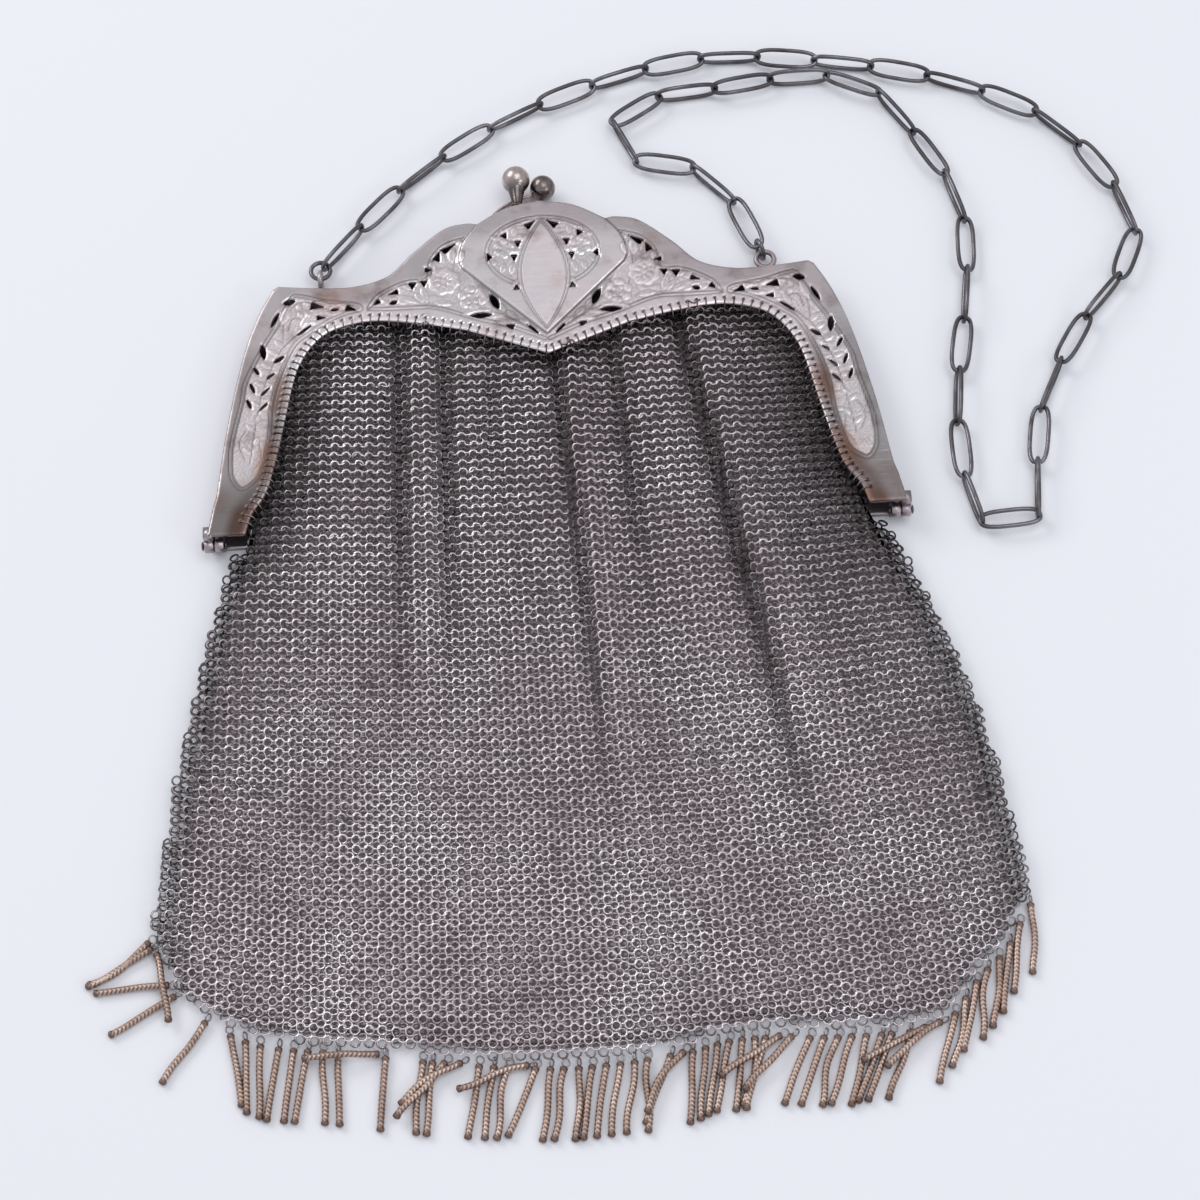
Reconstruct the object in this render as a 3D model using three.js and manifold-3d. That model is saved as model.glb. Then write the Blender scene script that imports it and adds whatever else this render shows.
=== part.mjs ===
// A silver chain-mail evening bag, lying on its back: a kiss-lock frame of two jaws, a bag of
// linked rings, a carrying chain and a fringe. Millimetres, +Z up, +Y towards the clasp.
// The origin is on the flat back of the frame, on its centre line.
import * as THREE from 'three';
import { mergeVertices } from 'three/addons/utils/BufferGeometryUtils.js';
import Module from 'manifold-3d';

const wasm = await Module();
wasm.setup();

// Driving dimensions of the frame
const FRAME_HALF = 82.6;      // half width over the leg ends
const FRAME_TALL = 89.3;      // from the leg ends to the crown
const PLATE = 0.9;            // sheet of each jaw
const JAW_DEEP = 4.0;         // depth of one jaw, plate and rim
const RIM_WALL = 1.0;
const SHIELD_PROUD = 0.5;     // the shield stands this far off the front plate
const SEAT_GAP = 0.3;         // clearance between pieces that touch on the real bag

// Hinges at the leg ends
const KNUCKLE_R = 1.65;
const KNUCKLE_LONG = 2.15;
const PIN_R = 0.55;
const PIN_HEAD_R = 1.1;
const PIN_HEAD_LONG = 0.4;
const BARREL_INSET = 3.6;     // the hinge barrel starts this far inside the frame's edge
const BARREL_DROP = 0.6;      // hinge axis below the leg end
const LUG_TALL = 1.6;

// Clasp
const KNOB_R = 3.5;
const KNOB_X = -5.6;
const KNOB_RISE = 9.8;        // centre of the knob above the rim
const STEM_R = 0.8;
const COLLAR_R = 1.35;
const COLLAR_LONG = 0.5;
const COLLAR_OFF = 0.9;       // collars stand off the rim, because it slopes there
const SPRING_BALL_R = 3.2;
const SPRING_THICK = 0.5;
const SPRING_WIDE = 2.2;
const SPRING_LONG = 11.8;     // from the rivet to the strip's tip
const SPRING_RISE = 3.7;      // the tip stands this far off the rim
const SPRING_BALL_OUT = 0.9;  // the ball's centre beyond the tip, above it and in front of it
const SPRING_BALL_UP = 2.4;
const SPRING_BALL_FRONT = 1.3;
const RIVET_AWAY = 5.6;       // the strip's rivet, from the knob
const RIVET_R = 0.55;
const RIVET_OUT = 1.2;
const RIVET_TAIL = 1.3;       // the rivet's end behind the rim wall
const RIVET_HEAD_R = 1.0;
const RIVET_HEAD_LONG = 0.5;

// Carrying chain
const EYE_X = 55.2;           // chain eyes, from the centre line
const EYE_RISE = 5.0;         // centre of an eye above the rim
const EYE_R = 2.25;
const EYE_WIRE_R = 0.65;
const EYE_Z = 3.2;
const RING_R = 2.4;           // jump rings between the eyes and the chain
const CHAIN_WIRE_R = 0.55;
const LINK_WIDE = 5.5;
const LINK_COUNT = 42;
const CHAIN_Z = 2.8;
const FUSE = 0.2;             // how far neighbouring links sink into each other
const FLAT_ROLL = 18;         // degrees that a lying link leans
const EDGE_ROLL = 72;
const LINK_BOW = 1.04;        // the long sides bow out a little

// Bag
const BAG_HALF = 98.0;        // half width at the hem corners
const BAG_DROP = 196.0;       // hem below the origin
const SHOULDER_HALF = 77.2;   // half width just below the leg ends
const BULGE_LEFT = 1.9;       // the sides swell by this much half way down
const BULGE_RIGHT = 4.8;
const WALL = 1.4;
const MOUTH_HIGH = 7.4;       // upper face of the mesh along the jaw
const BELLY = 1.0;            // how far the mesh swells below the jaw
const HEM_HIGH = 3.9;
const TUCK = 3.0;             // how far the mesh reaches up behind the jaws

// Fringe
const CORD_R = 0.7;
const CORD_LONG = 17.0;
const HEM_CORD_R = 0.85;
const HEM_CORD_SINK = 0.9;
const LOCK_CORDS = 3;         // cords lying side by side that are one flat lock
const CROSSING_RISE = 1.12;   // a cord lies this much higher for each cord under it

const FRAME_DEEP = 2 * JAW_DEEP + SEAT_GAP;
const MID_Z = FRAME_DEEP / 2;
const FX = FRAME_HALF;
const FY = FRAME_TALL;
const rad = THREE.MathUtils.degToRad;
const vec2 = (x, y) => new THREE.Vector2(x, y);
const vec3 = (x, y, z) => new THREE.Vector3(x, y, z);

// Outlines of the frame, right half, as shares of its half width and height.
// Each stretch is one smooth curve; stretches meet at corners.
const OUTER_STRETCHES = [
  { name: 'crown', steps: 4, at: [[0, 0.2508], [0.1005, 0.232], [0.1925, 0.1825]] },
  { name: 'side hump', steps: 9, at: [[0.1925, 0.1825], [0.23, 0.186], [0.297, 0.169], [0.392, 0.094],
    [0.464, 0.027], [0.569, -0.002], [0.69, 0.001], [0.789, 0.011]] },
  { name: 'leg', steps: 4, at: [[0.806, 0.001], [0.851, -0.084], [0.896, -0.213], [0.942, -0.4255],
    [0.973, -0.6327]] },
  { name: 'flare', steps: 2, at: [[0.983, -0.6663], [1, -0.7503]] },
];
const INNER_STRETCHES = [
  { name: 'vee', steps: 2, at: [[0, -0.243], [0.242, -0.157]] },
  { name: 'arch', steps: 9, at: [[0.242, -0.157], [0.387, -0.1277], [0.5206, -0.1142], [0.6295, -0.1366],
    [0.684, -0.1747], [0.724, -0.2307], [0.7506, -0.3024], [0.792, -0.4927], [0.823, -0.6103]] },
  { name: 'kick', steps: 3, at: [[0.823, -0.6103], [0.8414, -0.6495], [0.8717, -0.692], [0.891, -0.7503]] },
];
const SHIELD_SIDE = { steps: 5, at: [[0.1925, 0.1825], [0.238, 0.125], [0.253, 0.067], [0.243, 0.037]] };
const SHIELD_TIP = [0, -0.187];
const LEG_END = -0.7503 * FY;

// Pierced openings, right half. x and y are the middle, long and wide the size, all as shares of the
// frame's half width, y of its height; turn is the direction of the point or long axis in degrees.
const PIERCINGS = [
  { part: 'medallion top', form: 'barb', x: 0.028, y: 0.176, long: 0.032, wide: 0.018, turn: 140 },
  { part: 'medallion side', form: 'barb', x: 0.117, y: 0.138, long: 0.017, wide: 0.02, turn: 0 },
  { part: 'petals above', form: 'barb', x: 0.073, y: 0.106, long: 0.021, wide: 0.016, turn: 270 },
  { part: 'petals outside', form: 'barb', x: 0.158, y: 0.07, long: 0.014, wide: 0.026, turn: 180 },
  { part: 'petals inside', form: 'barb', x: 0.086, y: 0.062, long: 0.02, wide: 0.017, turn: 270 },
  { part: 'medallion foot', form: 'barb', x: 0.083, y: -0.029, long: 0.018, wide: 0.016, turn: 90 },
  { part: 'hump tip', form: 'barb', x: 0.273, y: 0.114, long: 0.042, wide: 0.015, turn: 145 },
  { part: 'hump side', form: 'barb', x: 0.313, y: 0.087, long: 0.027, wide: 0.018, turn: 110 },
  { part: 'hump low', form: 'barb', x: 0.341, y: 0.041, long: 0.018, wide: 0.014, turn: 180 },
  { part: 'bloom side', form: 'barb', x: 0.358, y: -0.004, long: 0.018, wide: 0.018, turn: 270 },
  { part: 'bloom outer', form: 'barb', x: 0.393, y: -0.01, long: 0.02, wide: 0.02, turn: 270 },
  { part: 'shield side', form: 'leaf', x: 0.151, y: -0.071, long: 0.062, wide: 0.022, turn: 66 },
  { part: 'stem foot', form: 'leaf', x: 0.192, y: -0.113, long: 0.072, wide: 0.02, turn: 0 },
  { part: 'vee barb', form: 'barb', x: 0.114, y: -0.151, long: 0.024, wide: 0.013, turn: 20 },
  { part: 'vee slit', form: 'leaf', x: 0.041, y: -0.165, long: 0.058, wide: 0.009, turn: 47 },
  { part: 'sprig barb', form: 'barb', x: 0.454, y: -0.029, long: 0.027, wide: 0.014, turn: 340 },
  { part: 'sprig leaf', form: 'leaf', x: 0.45, y: -0.059, long: 0.028, wide: 0.015, turn: 160 },
  { part: 'sprig tip', form: 'barb', x: 0.503, y: -0.059, long: 0.022, wide: 0.013, turn: 320 },
  { part: 'saddle barb', form: 'barb', x: 0.571, y: -0.073, long: 0.029, wide: 0.016, turn: 200 },
  { part: 'saddle leaf', form: 'leaf', x: 0.624, y: -0.072, long: 0.031, wide: 0.012, turn: 172 },
  { part: 'bud upper', form: 'barb', x: 0.672, y: -0.059, long: 0.032, wide: 0.021, turn: 190 },
  { part: 'bud lower', form: 'barb', x: 0.661, y: -0.095, long: 0.023, wide: 0.014, turn: 180 },
  { part: 'corner slit', form: 'leaf', x: 0.714, y: -0.132, long: 0.068, wide: 0.011, turn: 142 },
  { part: 'shoulder', form: 'leaf', x: 0.758, y: -0.041, long: 0.041, wide: 0.02, turn: 165 },
  { part: 'shoulder slit', form: 'leaf', x: 0.801, y: -0.096, long: 0.063, wide: 0.013, turn: 115 },
  { part: 'leg bud', form: 'leaf', x: 0.837, y: -0.195, long: 0.057, wide: 0.018, turn: 83 },
  { part: 'leg bud inner', form: 'leaf', x: 0.79, y: -0.221, long: 0.044, wide: 0.014, turn: 146 },
  { part: 'leaf 1 outer', form: 'leaf', x: 0.857, y: -0.255, long: 0.042, wide: 0.01, turn: 60 },
  { part: 'leaf 1 inner', form: 'leaf', x: 0.814, y: -0.271, long: 0.037, wide: 0.01, turn: 143 },
  { part: 'leaf 2 outer', form: 'leaf', x: 0.869, y: -0.307, long: 0.048, wide: 0.01, turn: 70 },
  { part: 'leaf 2 inner', form: 'leaf', x: 0.832, y: -0.32, long: 0.045, wide: 0.01, turn: 134 },
  { part: 'leaf 3 outer', form: 'leaf', x: 0.879, y: -0.356, long: 0.046, wide: 0.01, turn: 70 },
  { part: 'leaf 3 inner', form: 'leaf', x: 0.837, y: -0.366, long: 0.045, wide: 0.01, turn: 133 },
];

// Hem from the left corner to the right one: x as a share of the half width, y of the drop.
const HEM = [[-0.977, -0.8163], [-0.913, -0.891], [-0.844, -0.9255], [-0.729, -0.955], [-0.551, -0.969],
  [-0.296, -0.989], [-0.05, -1.001], [0.187, -0.993], [0.339, -0.979], [0.538, -0.983], [0.7, -0.982],
  [0.796, -0.973], [0.873, -0.929], [0.947, -0.893], [0.998, -0.853], [1.026, -0.833]];

// The clasp's spring strip: along is the place from its rivet as a share of its length, rise the
// height off the rim as a share of the tip's.
const SPRING_STRIP = [
  { along: -0.203, rise: 0.027 }, { along: 0, rise: 0.068 }, { along: 0.271, rise: 0.108 },
  { along: 0.695, rise: 0.514 }, { along: 1, rise: 1 },
];

// Folds of the front: x where the fold starts at the frame and where it would meet the hem, both as
// shares of the frame's half width; width and height as shares of the mouth's height above the
// back; reach is how far down the bag the fold runs.
const FOLDS = [
  { name: 'left swell', top: -0.6, foot: -0.72, width: 1.3, height: 0.08, reach: 0.85 },
  { name: 'left valley', top: -0.438, foot: -0.48, width: 0.36, height: -0.22, reach: 0.62 },
  { name: 'left ridge', top: -0.362, foot: -0.4, width: 0.4, height: 0.17, reach: 0.7 },
  { name: 'left second valley', top: -0.308, foot: -0.33, width: 0.28, height: -0.22, reach: 0.62 },
  { name: 'left gather', top: -0.17, foot: -0.2, width: 0.3, height: -0.1, reach: 0.28 },
  { name: 'middle valley', top: 0.012, foot: 0.14, width: 0.34, height: -0.25, reach: 0.85 },
  { name: 'middle ridge', top: 0.055, foot: 0.22, width: 0.46, height: 0.18, reach: 0.85 },
  { name: 'right gather', top: 0.186, foot: 0.32, width: 0.32, height: -0.16, reach: 0.55 },
  { name: 'right swell', top: 0.29, foot: 0.55, width: 1.0, height: 0.11, reach: 0.85 },
  { name: 'long valley', top: 0.392, foot: 0.74, width: 0.46, height: -0.28, reach: 0.9 },
  { name: 'long ridge', top: 0.452, foot: 0.86, width: 0.56, height: 0.19, reach: 0.85 },
];
const FOLD_START = -0.17 * FY;

// The chain's route over the table from the left eye to the right one, chosen by hand.
const ROUTE = [[-46.8, 18.3], [-36.7, 29.7], [-13.3, 47.6], [14.3, 60.3], [43.7, 67.4], [74.1, 65],
  [104, 57.8], [131.4, 43], [146.2, 18.9], [147.9, 3.5], [131.4, -17.7], [117.7, -43.1], [115.4, -57.7],
  [112.8, -71.7], [97.2, -68.9], [98.3, -54.3], [98, -39.6], [103.5, -10.6], [105.8, 18.1], [94.1, 45.4],
  [84.8, 57.6], [71.4, 60.6], [41.9, 57], [27.7, 55], [18.7, 45.2], [27, 35.6], [41.9, 32.6], [50, 20.6]];

// Fringe cords in groups: from and to are places along the hem as shares of the half width, lean is
// the angle off the bag's axis at the first and last cord, bend the turn along a cord, over the
// number of cords that it lies on.
const CORD_GROUPS = [
  { from: -0.972, to: -0.93, count: 4, lean: [-58, -74], bend: 6, over: 0 },
  { from: -0.965, to: -0.965, count: 1, lean: [15, 15], bend: 8, over: 1 },
  { from: -0.849, to: -0.849, count: 1, lean: [-33, -33], bend: 8, over: 0 },
  { from: -0.798, to: -0.73, count: 3, lean: [10, -1], bend: -3, over: 0 },
  { from: -0.688, to: -0.558, count: 5, lean: [-9, -3], bend: 4, over: 0 },
  { from: -0.463, to: -0.463, count: 1, lean: [-89, -89], bend: 5, over: 2 },
  { from: -0.452, to: -0.452, count: 1, lean: [-10, -10], bend: 3, over: 0 },
  { from: -0.37, to: -0.348, count: 2, lean: [-9, -10], bend: 2, over: 0 },
  { from: -0.317, to: -0.281, count: 2, lean: [-42, -55], bend: 16, over: 1 },
  { from: -0.245, to: -0.18, count: 3, lean: [-10, -12], bend: 2, over: 0 },
  { from: -0.132, to: -0.132, count: 1, lean: [-71, -71], bend: 4, over: 1 },
  { from: -0.119, to: -0.119, count: 1, lean: [-27, -27], bend: -6, over: 0 },
  { from: -0.087, to: 0.129, count: 8, lean: [-8, -11], bend: 3, over: 0 },
  { from: 0.182, to: 0.182, count: 1, lean: [-17, -17], bend: 5, over: 0 },
  { from: 0.213, to: 0.213, count: 1, lean: [-37, -37], bend: 24, over: 1 },
  { from: 0.23, to: 0.37, count: 6, lean: [-8, -12], bend: 3, over: 0 },
  { from: 0.396, to: 0.396, count: 1, lean: [-20, -20], bend: 4, over: 0 },
  { from: 0.432, to: 0.457, count: 2, lean: [-60, -46], bend: 28, over: 1 },
  { from: 0.495, to: 0.62, count: 5, lean: [-23, -20], bend: 3, over: 0 },
  { from: 0.655, to: 0.678, count: 2, lean: [-23, -24], bend: 3, over: 0 },
  { from: 0.718, to: 0.718, count: 1, lean: [-18, -18], bend: 2, over: 0 },
  { from: 0.758, to: 0.758, count: 1, lean: [-67, -67], bend: 6, over: 1 },
  { from: 0.792, to: 0.792, count: 1, lean: [-52, -52], bend: 24, over: 1 },
  { from: 0.823, to: 1.022, count: 8, lean: [-17, -9], bend: 3, over: 0 },
];

// Solids

function toManifold(geometry) {
  const bare = geometry.index ? geometry : geometry.clone();
  bare.deleteAttribute('normal');
  bare.deleteAttribute('uv');
  const merged = mergeVertices(bare, 1e-4);
  return new wasm.Manifold(new wasm.Mesh({
    numProp: 3,
    vertProperties: new Float32Array(merged.attributes.position.array),
    triVerts: new Uint32Array(merged.index.array),
  }));
}

function toGeometry(manifold) {
  const mesh = manifold.getMesh();
  const geometry = new THREE.BufferGeometry();
  geometry.setAttribute('position', new THREE.BufferAttribute(new Float32Array(mesh.vertProperties), 3));
  geometry.setIndex(new THREE.BufferAttribute(new Uint32Array(mesh.triVerts), 1));
  return geometry;
}

const addAll = (solids) => solids.reduce((sum, solid) => sum.add(solid));

function prism(points, low, high) {
  const geometry = new THREE.ExtrudeGeometry(new THREE.Shape(points), {
    depth: high - low, bevelEnabled: false, steps: 1,
  });
  geometry.translate(0, 0, low);
  return toManifold(geometry);
}

function block(x0, x1, y0, y1, z0, z1) {
  const geometry = new THREE.BoxGeometry(x1 - x0, y1 - y0, z1 - z0);
  geometry.translate((x0 + x1) / 2, (y0 + y1) / 2, (z0 + z1) / 2);
  return toManifold(geometry);
}

// A round bar from one point to another.
function bar(from, to, radius, sides = 10) {
  const geometry = new THREE.CylinderGeometry(radius, radius, from.distanceTo(to), sides);
  const turn = new THREE.Quaternion().setFromUnitVectors(vec3(0, 1, 0), to.clone().sub(from).normalize());
  geometry.applyQuaternion(turn);
  geometry.translate(...from.clone().add(to).multiplyScalar(0.5).toArray());
  return toManifold(geometry);
}

function ball(centre, radius) {
  const geometry = new THREE.SphereGeometry(radius, 12, 7);
  geometry.translate(...centre.toArray());
  return toManifold(geometry);
}

// Triangles of an end cap, laid like a ladder between its two long sides.
function ladder(sides) {
  const faces = [];
  for (let a = 0, d = sides - 1; d - a > 1; a += 1, d -= 1) {
    faces.push([a, a + 1, d]);
    if (d - a > 2) faces.push([a + 1, d - 1, d]);
  }
  return faces;
}

// Rings of points joined in order: closed ends when it is open, joined to itself when it is a loop.
function skin(rings, loop) {
  const sides = rings[0].length;
  const count = rings.length;
  const positions = rings.flat().flatMap((p) => p.toArray());
  const index = [];
  for (let i = 0; i < (loop ? count : count - 1); i += 1) {
    const a = i * sides;
    const b = ((i + 1) % count) * sides;
    for (let j = 0; j < sides; j += 1) {
      const k = (j + 1) % sides;
      index.push(a + j, b + j, b + k, a + j, b + k, a + k);
    }
  }
  if (!loop) {
    const last = (count - 1) * sides;
    for (const [a, b, c] of ladder(sides)) index.push(a, b, c, last + a, last + c, last + b);
  }
  const geometry = new THREE.BufferGeometry();
  geometry.setAttribute('position', new THREE.Float32BufferAttribute(positions, 3));
  geometry.setIndex(index);
  return toManifold(geometry);
}

// A wire through the given points, with a round section of the given sides, turned over on demand.
function wire(points, radius, sides, loop, turned = false) {
  const count = points.length;
  const rings = points.map((point, i) => {
    const before = points[loop ? (i + count - 1) % count : Math.max(i - 1, 0)];
    const after = points[loop ? (i + 1) % count : Math.min(i + 1, count - 1)];
    const along = after.clone().sub(before).normalize();
    const side = loop ? wireSide(points, along) : vec3(0, 0, 1).cross(along).normalize();
    const up = along.clone().cross(side);
    return Array.from({ length: sides }, (_, j) => {
      const angle = -(2 * Math.PI * j) / sides + (turned ? Math.PI : 0);
      return point.clone().addScaledVector(side, radius * Math.cos(angle))
        .addScaledVector(up, radius * Math.sin(angle));
    });
  });
  return skin(rings, loop);
}

// For a flat loop: the direction in its plane across the wire.
function wireSide(points, along) {
  const a = points[1].clone().sub(points[0]);
  const b = points[Math.floor(points.length / 2)].clone().sub(points[0]);
  const normal = a.cross(b).normalize();
  return normal.clone().cross(along).normalize();
}

// Outlines

function sample(stretch, scaleX, scaleY) {
  const points = stretch.at.map(([x, y]) => vec2(x * scaleX, y * scaleY));
  return new THREE.SplineCurve(points).getPoints(stretch.steps);
}

function halfLine(stretches) {
  const points = [];
  for (const stretch of stretches) {
    for (const point of sample(stretch, FX, FY)) {
      if (!points.length || points.at(-1).distanceTo(point) > 0.05) points.push(point);
    }
  }
  return points;
}

// From the left leg end over the middle to the right leg end.
function wholeLine(half) {
  const mirrored = half.slice(1).map((p) => vec2(-p.x, p.y)).reverse();
  return [...mirrored, ...half];
}

// Moves a line sideways: to its right-hand side for a positive distance.
function shifted(line, distance) {
  return line.map((point, i) => {
    const before = line[Math.max(i - 1, 0)];
    const after = line[Math.min(i + 1, line.length - 1)];
    const a = point.clone().sub(before);
    const b = after.clone().sub(point);
    const first = (a.length() > 1e-6 ? a : b).normalize();
    const second = (b.length() > 1e-6 ? b : first.clone()).normalize();
    const normal = vec2(first.y + second.y, -(first.x + second.x)).normalize();
    const stretch = 1 / Math.max(0.6, normal.dot(vec2(first.y, -first.x)));
    return point.clone().addScaledVector(normal, distance * stretch);
  });
}

const outerLine = wholeLine(halfLine(OUTER_STRETCHES));
const innerLine = wholeLine(halfLine(INNER_STRETCHES));
const bandOutline = [...outerLine, ...[...innerLine].reverse()];

// Height of the frame's top edge at a place across it.
function topEdge(x) {
  const i = outerLine.findIndex((p) => p.x >= x);
  const [a, b] = [outerLine[i - 1], outerLine[i]];
  return a.y + ((x - a.x) / (b.x - a.x)) * (b.y - a.y);
}

// Frame

function piercing(row, side) {
  const half = [row.long * FX / 2, row.wide * FX / 2];
  const corners = row.form === 'leaf'
    ? [[half[0], 0], [0, half[1]], [-half[0], 0], [0, -half[1]]]
    : [[half[0], 0], [-half[0], half[1]], [-half[0], -half[1]]];
  const turn = rad(row.turn);
  const placed = corners.map(([x, y]) => vec2(
    side * (row.x * FX + x * Math.cos(turn) - y * Math.sin(turn)),
    row.y * FY + x * Math.sin(turn) + y * Math.cos(turn),
  ));
  return prism(placed, FRAME_DEEP - 2 * PLATE, FRAME_DEEP + 2 * SHIELD_PROUD);
}

// A rim wall along the outer outline, open at the leg ends.
function rim(low, high) {
  const inside = shifted(outerLine, RIM_WALL);
  const below = vec2(0, -FY);
  const cavity = [inside[0].clone().add(below), ...inside, inside.at(-1).clone().add(below)];
  return prism(bandOutline, low, high).subtract(prism(cavity, low - 1, high + 1));
}

const hingeY = LEG_END - BARREL_DROP;
const barrelStart = FRAME_HALF - BARREL_INSET;
const knuckleSpan = {
  back: [barrelStart, barrelStart + KNUCKLE_LONG],
  front: [barrelStart + KNUCKLE_LONG + SEAT_GAP, barrelStart + 2 * KNUCKLE_LONG + SEAT_GAP],
};

function hingeBar(side, [from, to], radius, sides) {
  return bar(vec3(side * from, hingeY, MID_Z), vec3(side * to, hingeY, MID_Z), radius, sides);
}

// Knuckles and lugs of one jaw are added, and room is left for the other jaw's knuckles.
function withHinges(jaw, own, other, lugLow, lugHigh) {
  let solid = jaw;
  for (const side of [-1, 1]) {
    const [from, to] = knuckleSpan[own];
    const [x0, x1] = [side * from, side * to].sort((a, b) => a - b);
    const wide = knuckleSpan[other];
    const lug = block(x0, x1, LEG_END, LEG_END + LUG_TALL, lugLow, lugHigh);
    solid = solid.add(lug).add(hingeBar(side, [from, to], KNUCKLE_R, 12))
      .subtract(hingeBar(side, [wide[0] - SEAT_GAP, wide[1] + SEAT_GAP], KNUCKLE_R + SEAT_GAP, 12))
      .subtract(hingeBar(side, [from - 1, to + 1], PIN_R + SEAT_GAP, 8));
  }
  return solid;
}

const knobZ = MID_Z + JAW_DEEP * 0.42;
const springZ = MID_Z - JAW_DEEP * 0.46;
const rivetX = KNOB_X - RIVET_AWAY;

function frontJaw() {
  const shieldSide = sample(SHIELD_SIDE, FX, FY);
  const crown = sample(OUTER_STRETCHES[0], FX, FY);
  const right = [...crown, ...shieldSide.slice(1)];
  const left = right.slice(1).map((p) => vec2(-p.x, p.y)).reverse();
  const shield = [...left, ...right, vec2(SHIELD_TIP[0] * FX, SHIELD_TIP[1] * FY)];
  const plateLow = FRAME_DEEP - PLATE;
  const blank = prism(bandOutline, plateLow, FRAME_DEEP)
    .add(rim(MID_Z + SEAT_GAP / 2, FRAME_DEEP - PLATE / 2))
    .add(prism(shield, FRAME_DEEP - PLATE / 2, FRAME_DEEP + SHIELD_PROUD));
  const hinged = withHinges(blank, 'front', 'back', MID_Z + SEAT_GAP / 2, plateLow + PLATE / 2);
  const top = topEdge(KNOB_X);
  const hole = bar(vec3(KNOB_X, top - 2 * RIM_WALL, knobZ), vec3(KNOB_X, top + RIM_WALL, knobZ),
    STEM_R + SEAT_GAP, 8);
  const openings = PIERCINGS.flatMap((row) => [piercing(row, 1), piercing(row, -1)]);
  return hinged.subtract(hole).subtract(addAll(openings));
}

// The left eye stands edge-on to the frame, the right one is turned to lie with it.
function eye(side) {
  const foot = topEdge(side * EYE_X);
  const ring = new THREE.TorusGeometry(EYE_R, EYE_WIRE_R, 5, 10);
  if (side < 0) ring.rotateY(Math.PI / 2);
  ring.translate(side * EYE_X, foot + EYE_RISE, EYE_Z);
  const stalk = block(side * EYE_X - EYE_WIRE_R, side * EYE_X + EYE_WIRE_R,
    foot - RIM_WALL / 2, foot + EYE_RISE - EYE_R, EYE_Z - EYE_WIRE_R, EYE_Z + EYE_WIRE_R);
  return toManifold(ring).add(stalk);
}

function backJaw() {
  const blank = prism(bandOutline, 0, PLATE)
    .add(rim(PLATE / 2, MID_Z - SEAT_GAP / 2))
    .add(eye(-1)).add(eye(1));
  const hinged = withHinges(blank, 'back', 'front', PLATE / 2, MID_Z - SEAT_GAP / 2);
  const top = topEdge(rivetX);
  const hole = bar(vec3(rivetX, top - 2 * RIM_WALL, springZ), vec3(rivetX, top + RIM_WALL, springZ),
    RIVET_R + SEAT_GAP, 8);
  return hinged.subtract(hole);
}

function hingePin(side) {
  const from = knuckleSpan.back[0] - SEAT_GAP;
  const to = knuckleSpan.front[1] + SEAT_GAP;
  return addAll([
    hingeBar(side, [from, to], PIN_R, 8),
    hingeBar(side, [from - PIN_HEAD_LONG, from + 0.01], PIN_HEAD_R, 10),
    hingeBar(side, [to - 0.01, to + PIN_HEAD_LONG], PIN_HEAD_R, 10),
  ]);
}

// Clasp

// The front ball: its stem passes the rim wall and is riveted over behind it.
function claspKnob() {
  const top = topEdge(KNOB_X);
  const above = top + COLLAR_OFF;
  const below = top - COLLAR_OFF - RIM_WALL;
  const at = (y) => vec3(KNOB_X, y, knobZ);
  return addAll([
    ball(at(top + KNOB_RISE), KNOB_R),
    bar(at(below - COLLAR_LONG), at(top + KNOB_RISE - KNOB_R / 2), STEM_R, 8),
    bar(at(above), at(above + COLLAR_LONG), COLLAR_R, 10),
    bar(at(below - COLLAR_LONG), at(below), COLLAR_R, 10),
  ]);
}

// The spring: a strip riveted to the back rim, arching up to the second ball.
function claspSpring() {
  const lift = SEAT_GAP + SPRING_THICK / 2;
  const path = SPRING_STRIP.map((row) => {
    const x = rivetX + row.along * SPRING_LONG;
    return vec2(x, topEdge(x) + lift + row.rise * SPRING_RISE);
  });
  const line = new THREE.SplineCurve(path).getPoints(9);
  const outline = [...shifted(line, -SPRING_THICK / 2), ...shifted(line, SPRING_THICK / 2).reverse()];
  const strip = prism(outline, springZ - SPRING_WIDE / 2, springZ + SPRING_WIDE / 2);
  const end = line.at(-1);
  const centre = vec3(end.x + SPRING_BALL_OUT, end.y + SPRING_BALL_UP, springZ + SPRING_BALL_FRONT);
  const foot = vec3(end.x - SPRING_THICK, end.y, springZ + SPRING_THICK / 2);
  const tail = topEdge(rivetX) - RIM_WALL - RIVET_TAIL;
  const at = (y) => vec3(rivetX, y, springZ);
  const rivet = bar(at(tail + RIVET_HEAD_LONG / 2), at(topEdge(rivetX) + RIVET_OUT), RIVET_R, 8);
  const head = bar(at(tail), at(tail + RIVET_HEAD_LONG), RIVET_HEAD_R, 8);
  return addAll([strip, ball(centre, SPRING_BALL_R), bar(foot, centre, STEM_R, 8), rivet, head]);
}

// Chain

// A ring through an eye, away from it in the given direction. across is the ring's other direction.
function jumpRing(eyeCentre, away, across) {
  const seat = RING_R - CHAIN_WIRE_R - EYE_WIRE_R - SEAT_GAP;
  const centre = eyeCentre.clone().addScaledVector(away, EYE_R + seat);
  const sides = 12;
  const points = Array.from({ length: sides }, (_, i) => {
    const angle = (2 * Math.PI * i) / sides;
    return centre.clone().addScaledVector(away, RING_R * Math.cos(angle))
      .addScaledVector(across, RING_R * Math.sin(angle));
  });
  return { solid: wire(points, CHAIN_WIRE_R, 5, true), centre };
}

const linkReach = CHAIN_WIRE_R - FUSE / 2;

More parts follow.
